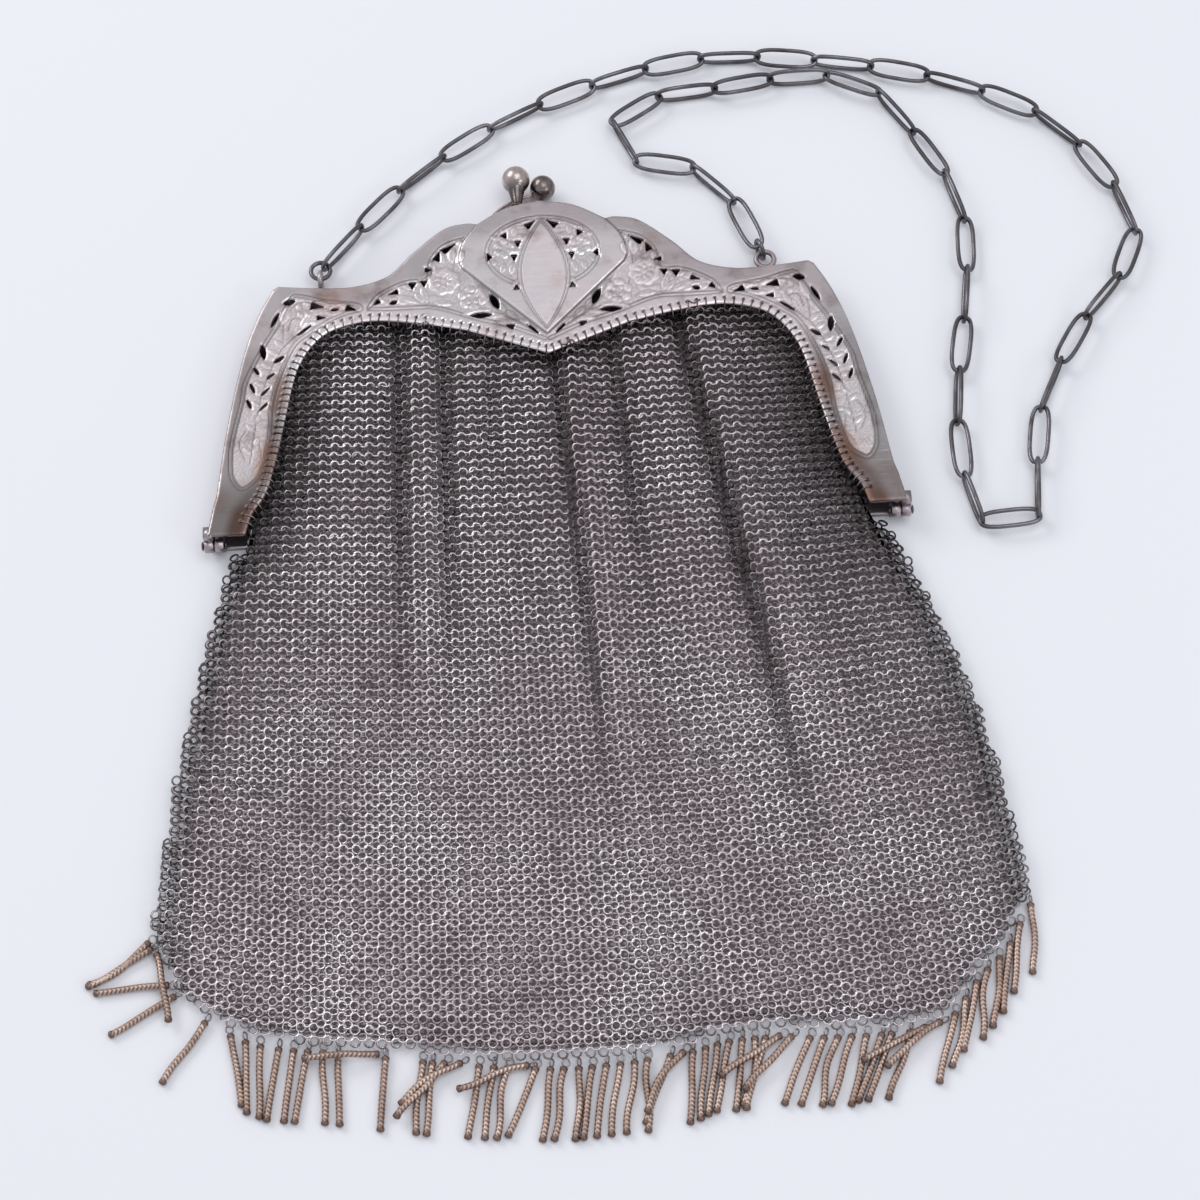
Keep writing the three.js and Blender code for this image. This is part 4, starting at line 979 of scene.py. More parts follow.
def lug(side, start, low, high):
    """A block that joins a knuckle to the leg above it."""
    x0, x1 = sorted([side * start, side * (start + KNUCKLE_LONG)])
    y0, y1 = hinge_y + 0.3, hinge_y + 3.0
    corners = np.array([(x, y, z) for x in (x0, x1) for y in (y0, y1) for z in (low, high)], float)
    faces = np.array([[0, 1, 3, 2], [4, 6, 7, 5], [0, 4, 5, 1], [2, 3, 7, 6], [0, 2, 6, 4], [1, 5, 7, 3]])
    return corners, faces


def jaw_extras(front):
    """Rim, knuckles and lugs of one jaw."""
    start = BARREL_IN + (KNUCKLE_LONG + SEAT_GAP if front else 0)
    low, high = (MID + SEAT_GAP / 2, FRAME_DEEP - 0.1) if front else (0.1, MID - SEAT_GAP / 2)
    parts = [rim_wall(low, high)]
    for side in (-1, 1):
        parts += [knuckle(side, start), lug(side, start, low, high)]
    return joined(parts)


FRONT_CELL, BACK_CELL = 0.32, 0.8
plate_points, plate_faces, (plate_recess, plate_polish, plate_warm) = cut_sheet(
    jaw_outline, openings, FRONT_CELL, FRAME_DEEP - PLATE, FRAME_DEEP, front_relief)
add_piece("front_jaw_engraved", (plate_points, plate_faces), "frame_silver", ["front_jaw"],
          {"recess": plate_recess, "tone": plate_polish, "warm": plate_warm})
add_piece("front_jaw_rim", jaw_extras(True), "back_silver")


def plain_relief(points, depth):
    return (-EDGE_ROUND * (1 - smooth(depth, 0.0, 0.5)),)


# The back plate is cut face up and then turned over, round the middle line of the bag.
back_points, back_faces, _ = cut_sheet(jaw_outline * (-1, 1), [], BACK_CELL, -PLATE, 0.0, plain_relief)
back_plate = (back_points * (-1, 1, -1), back_faces)

# %% [markdown]
# The mesh hangs from the frame by fine wire. It comes up through each small hole near the inner edge,
# goes over the edge and down into the first row of rings.

# %% Binding wires
BIND_R, BIND_OUT, BIND_TONES = 0.2, 1.3, (0.08, 0.42)


def binding():
    """A short wire for each hole: up out of it, over the edge and down to the mesh."""
    t = np.linspace(0, 1, 7)[:, None]
    reach = HOLE_IN + BIND_OUT
    jitter = rng.normal(0, 0.16, (len(hole_places), 1, 2)) * t[None]
    plan = hole_places[:, None] + inward[:, None] * (reach * t)[None] + jitter
    rise = FRAME_DEEP + 0.12 * np.sin(np.pi * np.clip(t * 1.6, 0, 1)) - 1.9 * smooth(t, 0.62, 1.0)
    path = np.concatenate([plan, np.broadcast_to(rise, plan.shape[:2] + (1,))], -1)
    path = np.concatenate([path[:, :1] - (0, 0, 0.3), path, path[:, -1:]], 1)
    swell = np.ones(path.shape[1])
    swell[[0, -1]] = 0.0
    return sweep(path, UP, circle(5, BIND_R), False, swell)


binding_shape = binding()
wire_points = len(binding_shape[0]) // len(hole_places)
wire_tone = np.repeat(rng.uniform(*BIND_TONES, len(hole_places)), wire_points)
add_piece("binding_wires", binding_shape, "ring_silver", (), {"tone": wire_tone},
          merge=True)

# %% [markdown]
# Two chain eyes stand on the back rim. The left one is seen from its edge, the right one is turned
# to lie with the frame. A ring is a circle of wire: a torus whose two angles make the grid.

# %% Eyes and jump rings
EYE_X, EYE_RISE, EYE_R, EYE_WIRE, EYE_Z = 55.2, 5.0, 2.25, 0.65, 3.2
RING_R, CHAIN_WIRE = 2.4, 0.55


def rings(centres, across, along, radius, wire, steps, sides, start=0.0):
    """Rings: round the circle runs the first angle, round the wire the second one."""
    turn, around = circle(steps), circle(sides, 1.0, start)
    out = turn[None, :, :1] * across[:, None] + turn[None, :, 1:] * along[:, None]
    normal = np.cross(across, along)
    points = (centres[:, None, None] + out[:, :, None] * (radius + wire * around[:, 0])[None, None, :, None]
              + normal[:, None, None] * (wire * around[:, 1])[None, None, :, None])
    return repeated(points, grid_faces(steps, sides, True, True))


def one_ring(centre, across, along, radius, wire):
    """A single ring with a fine grid."""
    centre, across, along = (np.array(given, float)[None] for given in (centre, across, along))
    return rings(centre, across, along, radius, wire, 32, 10)


def eye_at(side):
    return np.array([side * EYE_X, height_on(outer_line, side * EYE_X) + EYE_RISE, EYE_Z])


def eye(side):
    """A ring on a short tapering stalk."""
    ring = one_ring(eye_at(side), (0, 0, 1) if side < 0 else (1, 0, 0), (0, 1, 0), EYE_R, EYE_WIRE)
    tall = EYE_RISE - EYE_R + 0.2
    stalk = [(0, 0), (1.1, 0), (1.0, 0.5), (0.62, 1.4), (0.6, tall), (0, tall)]
    foot = eye_at(side) - (0, EYE_RISE + 0.2, 0)
    return joined([ring, turned(stalk, foot, (0, 1, 0), 14)])


add_piece("back_jaw_plain", joined([back_plate, jaw_extras(False), eye(-1), eye(1)]),
          "back_silver", ["back_jaw"])

# The chain's way over the table, from the left eye to the right one.
ROUTE = np.array([
    [-46.8, 18.3], [-36.7, 29.7], [-13.3, 47.6], [14.3, 60.3], [43.7, 67.4], [74.1, 65], [104, 57.8],
    [131.4, 43], [146.2, 18.9], [147.9, 3.5], [131.4, -17.7], [117.7, -43.1], [115.4, -57.7],
    [112.8, -71.7], [97.2, -68.9], [98.3, -54.3], [98, -39.6], [103.5, -10.6], [105.8, 18.1],
    [94.1, 45.4], [84.8, 57.6], [71.4, 60.6], [41.9, 57], [27.7, 55], [18.7, 45.2], [27, 35.6],
    [41.9, 32.6], [50, 20.6]])
seat = RING_R - CHAIN_WIRE - EYE_WIRE - SEAT_GAP
left_centre = eye_at(-1) + np.array([0, 1.0, 0]) * (EYE_R + seat)
right_way = unit(np.append(ROUTE[-1], EYE_Z) - eye_at(1))
right_centre = eye_at(1) + right_way * (EYE_R + seat)
JUMP_RINGS = {"left": (left_centre, (0, 1, 0), (1, 0, 0)), "right": (right_centre, right_way, UP)}
for side, place in JUMP_RINGS.items():
    add_piece(f"jump_ring_{side}_round", one_ring(*place, RING_R, CHAIN_WIRE),
              "dark_silver", [f"jump_ring_{side}"])

# %% [markdown]
# The carrying chain has forty-two long links. Its route over the table is one smooth line through
# given points, cut into equal steps. Links lie flat and on edge in turn, as a real chain
# settles, and each one is a wire bent to a long oval.

# %% The carrying chain
LINK_COUNT, LINK_WIDE, CHAIN_Z, FUSE = 42, 5.5, 2.8, 0.2
LINK_STEPS, OVAL = 32, 3.0
LINK_ROLLS, LINK_SLACK = (97, 12), 9
hold = RING_R - CHAIN_WIRE - SEAT_GAP - FUSE / 2


def smooth_route(points, steps):
    """Centripetal Catmull-Rom: like curve(), with slopes that allow for uneven spacing."""
    padded = np.concatenate([[2 * points[0] - points[1]], points, [2 * points[-1] - points[-2]]])
    gaps = np.linalg.norm(np.diff(padded, axis=0), axis=1) ** 0.5
    a, b, c, d = padded[:-3], padded[1:-2], padded[2:-1], padded[3:]
    g0, g1, g2 = gaps[:-2, None], gaps[1:-1, None], gaps[2:, None]
    leave = ((b - a) / g0 - (c - a) / (g0 + g1) + (c - b) / g1) * g1
    arrive = ((c - b) / g1 - (d - b) / (g1 + g2) + (d - c) / g2) * g1
    t = np.linspace(0, 1, steps, endpoint=False)[:, None, None]
    out = cubic(b, c, leave, arrive, t)
    return np.concatenate([out.transpose(1, 0, 2).reshape(-1, points.shape[1]), points[-1:]])


start = left_centre + unit(np.append(ROUTE[0], EYE_Z) - left_centre) * hold
finish = right_centre + right_way * hold
lying = np.column_stack([ROUTE, np.full(len(ROUTE), CHAIN_Z)])
route = smooth_route(np.concatenate([[start], lying, [finish]]), 60)
joints = on_line(route, np.linspace(0, np.cumsum(gaps_of(route))[-1], LINK_COUNT + 1))
print("run of the chain in mm:", gaps_of(joints).sum().round(1))


def link_paths(joints):
    """A long oval for each link: cosine and sine, both raised to the same power below one."""
    along = np.diff(joints, axis=0)
    length = np.linalg.norm(along, axis=1)
    along = unit(along)
    middle = (joints[1:] + joints[:-1]) / 2
    level = unit(np.cross(UP, along))
    upright = np.cross(along, level)
    turns = np.where(np.arange(len(along)) % 2 == 0, *LINK_ROLLS)
    roll = np.radians(turns + rng.uniform(-LINK_SLACK, LINK_SLACK, len(along)))
    wide = level * np.cos(roll)[:, None] + upright * np.sin(roll)[:, None]
    angle = 2 * np.pi * (np.arange(LINK_STEPS) + 0.5) / LINK_STEPS
    c, s = np.cos(angle), np.sin(angle)
    x = (length / 2 + CHAIN_WIRE - FUSE / 2)[:, None] * np.sign(c) * np.abs(c) ** (2 / OVAL)
    y = np.broadcast_to((LINK_WIDE / 2 - CHAIN_WIRE) * np.sign(s) * np.abs(s) ** (2 / OVAL), x.shape)
    paths = middle[:, None] + x[..., None] * along[:, None] + y[..., None] * wide[:, None]
    return paths, np.cross(along, wide)


paths, normals = link_paths(joints)
add_piece("chain_links", sweep(paths, normals[:, None], circle(8, CHAIN_WIRE), True),
          "dark_silver", ["chain"])

# %% [markdown]
# The clasp is two balls that snap past each other. Both are turned shapes: a profile of radius and
# height goes round an axis. The second ball sits on a spring strip along the back rim.

# %% The clasp
KNOB_R, KNOB_X, KNOB_RISE, STEM_R, SPRING_R = 3.5, -5.6, 9.0, 1.0, 3.2
KNOB_FORWARD, SPRING_BACK, RIVET_LEFT = 1.68, 1.84, 5.6
COLLAR = [(0, 0), (1.5, 0), (1.7, 0.3), (1.3, 0.9), (0.9, 2.2), (0.8, 2.6), (0, 2.6)]
RIVET = [(0, 0), (0.95, 0), (0.8, 0.45), (0, 0.6)]
# The spring strip: places along the rim and heights over it.
STRIP = [(KNOB_X - RIVET_LEFT - 3.4, 0.6), (KNOB_X - RIVET_LEFT, 2.9), (KNOB_X - RIVET_LEFT + 3.2, 3.8),
         (KNOB_X + 1.8, 4.6), (KNOB_X + 6.2, 4.8)]
knob_z, spring_z, rivet_x = MID + KNOB_FORWARD, MID - SPRING_BACK, KNOB_X - RIVET_LEFT


def ball_profile(radius, stem, base, flare=0.0):
    """A stem that widens into a ball: heights from the base, the ball's centre at zero."""
    angle = np.linspace(math.pi - math.asin((stem + flare) / radius), 0, 22)
    sphere = np.column_stack([radius * np.sin(angle), radius * np.cos(angle)])
    share = np.array([0.3, 0.5, 0.7, 0.9] if flare else [])
    neck = np.column_stack([stem + flare * share ** 2, base + (sphere[0, 1] - base) * share])
    return np.concatenate([[(0, base), (stem, base)], neck, sphere])


def knob():
    """The front ball on its stem, with a collar on the rim and a rivet head under it."""
    rim = float(height_on(outer_line, KNOB_X))
    centre = np.array([KNOB_X, rim + KNOB_RISE, knob_z])
    return joined([
        turned(ball_profile(KNOB_R, STEM_R, -KNOB_RISE - 2.0, 1.2), centre, (0, 1, 0), 32),
        turned(COLLAR, np.array([KNOB_X, rim + 0.6, knob_z]), (0, 1, 0), 20),
        turned(COLLAR[:4] + [(0, 0.9)], np.array([KNOB_X, rim - 2.5, knob_z]), (0, 1, 0), 16),
    ]), centre


def spring():
    """A thin strip along the rim that rises to a stem and its ball."""
    line = curve([(x, float(height_on(outer_line, x)) + SEAT_GAP + 0.25 + rise) for x, rise in STRIP], 40)
    path, swell = closed_ends(np.column_stack([line, np.full(len(line), spring_z)]))
    strip = sweep(path[None], UP, wall_section(0.5, 2.2), False, swell)
    centre = np.array([line[-1, 0] + 0.4, line[-1, 1] + SPRING_R * 0.45, spring_z + 1.5])
    ball = turned(ball_profile(SPRING_R, STEM_R, -SPRING_R - 0.6), centre, (0.15, 1, 0.3), 32)
    head = np.array([rivet_x, height_on(outer_line, rivet_x) + 0.9, spring_z])
    return joined([strip, ball, turned(RIVET, head, (0.2, 1, 0), 14)]), centre


# The front ball has a painted reflection in its colour, dark below and bright above. The spring's
# ball is darker than its strip.
knob_shape, knob_centre = knob()
from_centre = (knob_shape[0] - (0, knob_centre[1], 0)) / KNOB_R
knob_painted_reflection = 0.24 + 0.76 * smooth(from_centre[:, 1] + 0.12 * from_centre[:, 2], -0.75, 0.1)
add_piece("clasp_knob_round", knob_shape, "knob_silver", ["clasp_knob"],
          {"tone": knob_painted_reflection}, merge=True)

spring_shape, ball_centre = spring()
on_ball = np.linalg.norm(spring_shape[0] - ball_centre, axis=1) < SPRING_R * 1.1
add_piece("clasp_spring_round", spring_shape, "knob_silver", ["clasp_spring"],
          {"tone": np.where(on_ball, 0.4, 0.95)}, merge=True)


def pin(side):
    """A riveted pin: a head at both ends of a thin shaft."""
    start = BARREL_IN - SEAT_GAP
    long = 2 * KNUCKLE_LONG + 3 * SEAT_GAP
    profile = [(0, -0.4), (0.8, -0.4), (1.1, -0.2), (1.1, 0), (0.55, 0), (0.55, long), (1.1, long),
               (1.1, long + 0.2), (0.8, long + 0.4), (0, long + 0.4)]
    return turned(profile, np.array([side * start, hinge_y, MID]), (side, 0, 0), 16)


add_piece("hinge_pins", joined([pin(-1), pin(1)]), "dark_silver",
          ["hinge_pin_left", "hinge_pin_right"], merge=True)

# %% [markdown]
# The bag is chain mail: every ring passes through four others. Rows of rings lean forwards and
# backwards in turn and sit half a ring apart. The form under them is a height over the table, which
# falls from the frame to the hem and has the folds where the mesh is gathered at the frame.

# %% The form of the bag
BAG_HALF, BAG_DROP, SHOULDER_HALF = 98.0, 196.0, 77.2
MOUTH_HIGH, BELLY, HEM_HIGH, TUCK = 7.4, 1.0, 3.9, 3.0
HEM = np.array([
    [-0.977, -0.8163], [-0.913, -0.891], [-0.844, -0.9255], [-0.729, -0.955], [-0.551, -0.969],
    [-0.296, -0.989], [-0.05, -1.001], [0.187, -0.993], [0.339, -0.979], [0.538, -0.983],
    [0.7, -0.982], [0.796, -0.973], [0.873, -0.929], [0.947, -0.893], [0.998, -0.853], [1.026, -0.833]])
SIDE_TOP, SIDE_BULGE = -67.3, (1.9, 4.8)
hem_line = curve(HEM * (BAG_HALF, BAG_DROP), 240)
mouth_line = moved_in(inner_line, -TUCK)
mouth_line = mouth_line[np.argsort(mouth_line[:, 0])]

# Folds: x at the frame and at the hem as shares of the frame's half width, width and height as
# shares of the mouth's height, and how far down the fold runs.
FOLDS = [
    (-0.6, -0.72, 1.3, 0.08, 0.85), (-0.438, -0.48, 0.24, -0.2, 0.62), (-0.362, -0.4, 0.4, 0.17, 0.7),
    (-0.308, -0.33, 0.22, -0.2, 0.62), (-0.17, -0.2, 0.24, -0.1, 0.28), (0.012, 0.14, 0.22, -0.22, 0.85),
    (0.055, 0.22, 0.46, 0.18, 0.85), (0.186, 0.32, 0.24, -0.16, 0.55), (0.29, 0.55, 1.0, 0.11, 0.85),
    (0.392, 0.74, 0.3, -0.26, 0.9), (0.452, 0.86, 0.56, 0.19, 0.85),
]
FOLD_START = -0.17 * FRAME_TALL


def bag_side(x, y):
    """Half width of the bag on the side of x: a straight side from shoulder to hem, with a bulge."""
    halves = []
    for corner, bulge in zip(hem_line[[0, -1]], SIDE_BULGE):
        down = np.clip((y - SIDE_TOP) / (corner[1] - SIDE_TOP), 0, 1)
        straight = SHOULDER_HALF + (abs(corner[0]) - SHOULDER_HALF) * down
        halves.append(straight + bulge * np.sin(np.pi * down))
    return np.where(x > 0, halves[1], halves[0])


def fold_height(x, y):
    """Each fold is a bell across the bag that fades on its way down."""
    travel = (FOLD_START - y) / (FOLD_START + BAG_DROP)
    folds = np.zeros(np.shape(x))
    for at_top, at_foot, width, high, reach in FOLDS:
        centre = (at_top + (at_foot - at_top) * travel) * HALF
        fade = 1 - smooth(travel, reach * 0.35, reach)
        folds = folds + high * MOUTH_HIGH * fade * np.exp(-((x - centre) / (width * MOUTH_HIGH)) ** 2)
    return folds


def bag_height(x, y):
    """Height of the front over the table: mouth to hem, a belly, and the folds on top of it."""
    top = np.minimum(height_on(mouth_line, x), -10)
    foot = height_on(hem_line, x)
    down = np.clip((y - top) / (foot - top), 0, 1)
    base = MOUTH_HIGH + (HEM_HIGH - MOUTH_HIGH) * smooth(down, 0, 0.9)
    base = base + BELLY * np.sin(np.pi * down ** 0.6) + fold_height(x, y)
    across = np.abs(x) / bag_side(x, y)
    return HEM_HIGH + (base - HEM_HIGH) * (1 - np.clip(across, 0, 1) ** 8)


# %% [markdown]
# Now the rings. The mesh opens out a little towards the hem, so both the space between columns and
# the step between rows grow on the way down, and the rows rise towards the sides. Broad patches of
# the bag are lighter or darker than the rest.

# %% Places of the rings
RING_OPEN, RING_WIRE, ROW_CLOSE = 1.03, 0.27, 0.16
LEAN_FORWARD, LEAN_BACK = 25, -17
PITCH_TOP, PITCH_HEM = 2.68, 3.0
STEP_TOP, STEP_HEM = 1.17, 1.33
ROW_RISE_TOP, ROW_RISE_HEM = 0.0003, 0.0010
SHEET, HEM_DROP = 0.74, 1.1
MESH_TOP, MESH_TUCK, UNDER_LEGS = -8.0, 2.0, -69.8
# Patches: middle, reach and gain of the tone.
PATCHES = [
    (-15, -75, 45, 0.36), (-55, -170, 45, 0.30), (5, -180, 60, 0.25), (-62, -45, 30, -0.22),
    (48, -45, 34, -0.20), (68, -75, 30, -0.30), (-82, -110, 26, -0.15), (88, -120, 26, -0.20),
    (60, -175, 30, 0.10), (20, -130, 30, -0.05),
]


def ring_places():
    """Plan of all rings: rows at growing steps, each row shifted half a space."""
    rows = [MESH_TOP]
    while rows[-1] > -BAG_DROP - 12:
        share = (MESH_TOP - rows[-1]) / (BAG_DROP + MESH_TOP)
        rows.append(rows[-1] - (STEP_TOP + (STEP_HEM - STEP_TOP) * share))
    rows = np.array(rows)
    share = np.clip((MESH_TOP - rows) / (BAG_DROP + MESH_TOP), 0, 1)
    pitch = PITCH_TOP + (PITCH_HEM - PITCH_TOP) * share
    column = np.arange(-40, 41)
    odd = np.arange(len(rows)) % 2
    x = (column[None] + 0.5 * odd[:, None]) * pitch[:, None]
    rise = ROW_RISE_TOP + (ROW_RISE_HEM - ROW_RISE_TOP) * share
    y = (rows - ROW_CLOSE * odd)[:, None] + rise[:, None] * x ** 2
    row = np.broadcast_to(np.arange(len(rows))[:, None], x.shape)
    return x.ravel(), y.ravel(), row.ravel()


def room_in_bag(x, y):
    """Distances inwards from the side and from the hem, below zero outside the bag."""
    corner = np.where(x > 0, hem_line[-1, 0] + 1.5, -hem_line[0, 0] + 1.5)
    return np.minimum(bag_side(x, y), corner) - np.abs(x), y - height_on(hem_line, x)


def under_frame(x, y):
    """True below the frame's inner edge, with a little tucked under it."""
    return y < np.where(np.abs(x) < inner_line[-1, 0], height_on(inner_line, x) + MESH_TUCK, UNDER_LEGS)


# %% [markdown]
# A ring that leans forwards has its upper half raised, and the next row leans back and has its lower
# half raised. The two interlace to one bright wavy line, and the lowered halves cross in the dark
# valley between two such lines. So each point's tone follows its place round the ring: the raised half
# is bright from polish by years of use and from a painted highlight, the lowered half dark from tarnish
# and from painted shade. Painted shade also darkens the rings near the frame, the sides and the top
# and in the fold valleys, and the fold crests are painted lighter.

# %% Rings of the front
RING_STEPS, RING_SIDES, FLAT_UP = 10, 3, math.pi / 6
# Painted shade: how dark the lowered halves are at the top and at the hem, how strongly the folds are
# shaded, and how far the rings are darkened near the frame, the sides and the top; the last is a random
# spread of tone.
VALLEY_TOP, VALLEY_HEM, FOLD_CONTRAST = 0.17, 0.62, 0.6
NEAR_FRAME, NEAR_SIDE, NEAR_TOP, UNEVEN = 0.28, 0.42, 0.8, 0.14
LEAN_SLACK, TWIST_SLACK, SLIP_X, SLIP_Y = 8, 0.2, 0.13, 0.09


def lean_axes(row, slope_x, slope_y, count):
    """Across and along directions of rings that lean forwards and backwards in turn."""
    leans = np.where(row % 2 == 0, LEAN_FORWARD, LEAN_BACK)
    lean = np.radians(leans + rng.normal(0, LEAN_SLACK, count))
    lean = lean + np.arctan(slope_y)
    twist = rng.normal(0, TWIST_SLACK, count)
    across = unit(np.column_stack([np.cos(twist), np.sin(twist), slope_x]))
    along = np.column_stack([-np.sin(twist) * np.cos(lean), np.cos(twist) * np.cos(lean), np.sin(lean)])
    return across, unit(along - (along * across).sum(1)[:, None] * across)


def ring_wear_and_painted_light(row, x, y, steps, sides):
    """Tone of each ring: polish and a painted highlight on the raised half, tarnish and painted shade on
    the other, and painted shade near the frame, the sides and the top.
    """
    side_room, hem_room = room_in_bag(x, y)
    frame_room, _ = nearest(np.column_stack([x, y]), inner_line)
    low = VALLEY_TOP + (VALLEY_HEM - VALLEY_TOP) * smooth(-y, 20, 180)
    low = low * (0.5 + 0.5 * smooth(hem_room, 1, 3))
    # Painted shade near the frame, the sides and the top and in the fold valleys, painted light on the fold
    # crests; the patches and a random spread make it lighter or darker in places.
    frame_reach = 8 + 10 * smooth(np.abs(x), 42, 60)
    shade = NEAR_FRAME + (1 - NEAR_FRAME) * smooth(frame_room, 0.5, frame_reach)
    shade = shade * (NEAR_SIDE + (1 - NEAR_SIDE) * smooth(side_room, 1, 12)) * (1 + spots(x, y, PATCHES))
    shade = shade * (1 + FOLD_CONTRAST * np.clip(fold_height(x, y) / 1.2, -1, 0.7))
    shade = shade * (NEAR_TOP + (1 - NEAR_TOP) * smooth(-y, 30, 120))
    shade = shade * np.clip(rng.normal(1.0, UNEVEN, len(x)), 0.6, 1.35)
    # Polish and a painted highlight on the raised half, tarnish and painted shade on the lowered half.
    raised = np.where(row % 2 == 0, 1, -1)[:, None] * circle(steps)[None, :, 1]
    tone = low[:, None] + (1 - low[:, None]) * smooth(raised, -0.2, 0.6)
    return np.repeat(np.clip(tone * shade[:, None], 0.0, 1.0).ravel(), sides)


def front_rings():
    """All rings of the front, seated in the form and following its slopes, lower at the hem."""
    x, y, row = ring_places()
    side_room, hem_room = room_in_bag(x, y)
    keep = (side_room > 1.1) & (hem_room > 0.2) & under_frame(x, y)
    x, y, row = x[keep], y[keep], row[keep]
    x = x + rng.normal(0, SLIP_X, len(x))
    y = y + rng.normal(0, SLIP_Y, len(x))
    slope_x = bag_height(x + 0.5, y) - bag_height(x - 0.5, y)
    slope_y = bag_height(x, y + 0.5) - bag_height(x, y - 0.5)
    across, along = lean_axes(row, slope_x, slope_y, len(x))
    _, hem_room = room_in_bag(x, y)
    drop = SHEET + HEM_DROP * (1 - smooth(hem_room, 0, 9))
    centres = np.column_stack([x, y, bag_height(x, y) - drop])
    shape = rings(centres, across, along, RING_OPEN, RING_WIRE, RING_STEPS, RING_SIDES, FLAT_UP)
    print("rings of the front:", len(x))
    tone = ring_wear_and_painted_light(row, x, y, RING_STEPS, RING_SIDES)
    return shape, tone, np.repeat(x, RING_STEPS * RING_SIDES)


(points, faces), tone, ring_x = front_rings()
STRIPS, FAR = 4, 1e3
edges = np.quantile(ring_x, np.linspace(0, 1, STRIPS + 1))
edges[[0, -1]] = -FAR, FAR
for k in range(STRIPS):
    chosen = (ring_x >= edges[k]) & (ring_x < edges[k + 1])
    renumber = np.cumsum(chosen) - 1
    part = faces[chosen[faces[:, 0]]]
    add_piece(f"ring_mesh_front_{k + 1}", (points[chosen], renumber[part]), "ring_silver",
              ["mesh_bag"] if k == 0 else (), {"tone": tone[chosen]})

# %% [markdown]
# The back of the bag lies under the front and shows only as a dark weave through the gaps. Its own
# rings are made where they can be seen, along the sides and near the hem, and are painted dark as
# shade under the front. Between them it is one thin closed sheet whose weave is colour and bump, which
# saves half a million triangles; painted shade darkens its valleys and its upper part.

# %% The back of the bag
BACK_MARGIN, BACK_THICK, BACK_Z, BACK_STEPS = 9.0, 0.7, 1.05, 8
SHEET_DOWN, SHEET_ACROSS, SHEET_TOP = 60, 80, -69.0


def back_rings():
    """Rings of the back along its border, coarser than the front's."""
    x, y, row = ring_places()
    x = x + 0.5 * PITCH_TOP
    side_room, hem_room = room_in_bag(x, y)
    near_edge = np.minimum(side_room, hem_room) < BACK_MARGIN
    keep = (side_room > 0.9) & (hem_room > 2.4) & near_edge & (y < UNDER_LEGS)
    x, y, row = x[keep], y[keep], row[keep]
    flat = np.zeros(len(x))
    across, along = lean_axes(row, flat, flat, len(x))
    centres = np.column_stack([x, y, np.full(len(x), BACK_Z)])
    shape = rings(centres, across, along, RING_OPEN, RING_WIRE, BACK_STEPS, RING_SIDES)
    # Painted shade: the back's rings lie under the front, so they get only a dark share of the front's
    # tone.
    tone = 0.04 + 0.3 * ring_wear_and_painted_light(row, x, y, BACK_STEPS, RING_SIDES)
    print("rings of the back:", len(x))
    return shape, tone


back_shape, back_ring_shade = back_rings()
add_piece("ring_mesh_back_border", back_shape, "ring_silver", (), {"tone": back_ring_shade})


def back_sheet():
    """A closed thin sheet: a grid across and down the bag, upper face, lower face and a wall between."""
    down = np.linspace(0, 1, SHEET_DOWN)[:, None]
    across = np.linspace(-1, 1, SHEET_ACROSS)[None, :]
    top_x = across * (SHOULDER_HALF - 3.5)
    foot_x = across * (np.where(across > 0, hem_line[-1, 0], -hem_line[0, 0]) - 4.0)
    top_y = np.where(np.abs(top_x) < inner_line[-1, 0], height_on(inner_line, top_x) + 2.5, SHEET_TOP)
    foot_y = height_on(hem_line, foot_x) + 3.0
    x = top_x + (foot_x - top_x) * down
    y = top_y + (foot_y - top_y) * down
    bulge = np.where(across > 0, SIDE_BULGE[1], SIDE_BULGE[0]) * across ** 3
    x = x + bulge * np.sin(np.pi * down)
    z = np.full(x.shape, BACK_Z)
    low, high = (np.stack([x, y, z + half], -1) for half in (-BACK_THICK / 2, BACK_THICK / 2))
    rows, columns = x.shape
    top = grid_faces(rows, columns)
    border = np.concatenate([np.arange(columns), np.arange(1, rows) * columns + columns - 1,
                             (rows - 1) * columns + np.arange(columns - 2, -1, -1),
                             np.arange(rows - 2, 0, -1) * columns])
    after = np.roll(border, -1)
    walls = np.stack([border, after, after + rows * columns, border + rows * columns], -1)
    points = np.concatenate([high.reshape(-1, 3), low.reshape(-1, 3)])
    return points, np.concatenate([top, top[:, ::-1] + rows * columns, walls])


sheet_points, sheet_faces = back_sheet()
# Painted shade: the sheet is darker towards the top, under the frame.
sheet_shade = 0.5 + 0.5 * smooth(-sheet_points[:, 1], 20, 130)
add_piece("ring_mesh_back", (sheet_points, sheet_faces), "back_weave", (),
          {"tone": sheet_shade})

# %% [markdown]
# The fringe is short foxtail cord, a round weave of fine wire in a herringbone. Sixty-two cords hang
# from the last row of rings, each by a small ring of its own. A cord is a tube whose radius swells in
# slanting ribs, with a plain cap at both ends, and it lies in a slack curve.

# %% Places of the cords
CORD_R, CORD_LONG, HEM_CORD_Z = 0.82, 17.0, 1.3
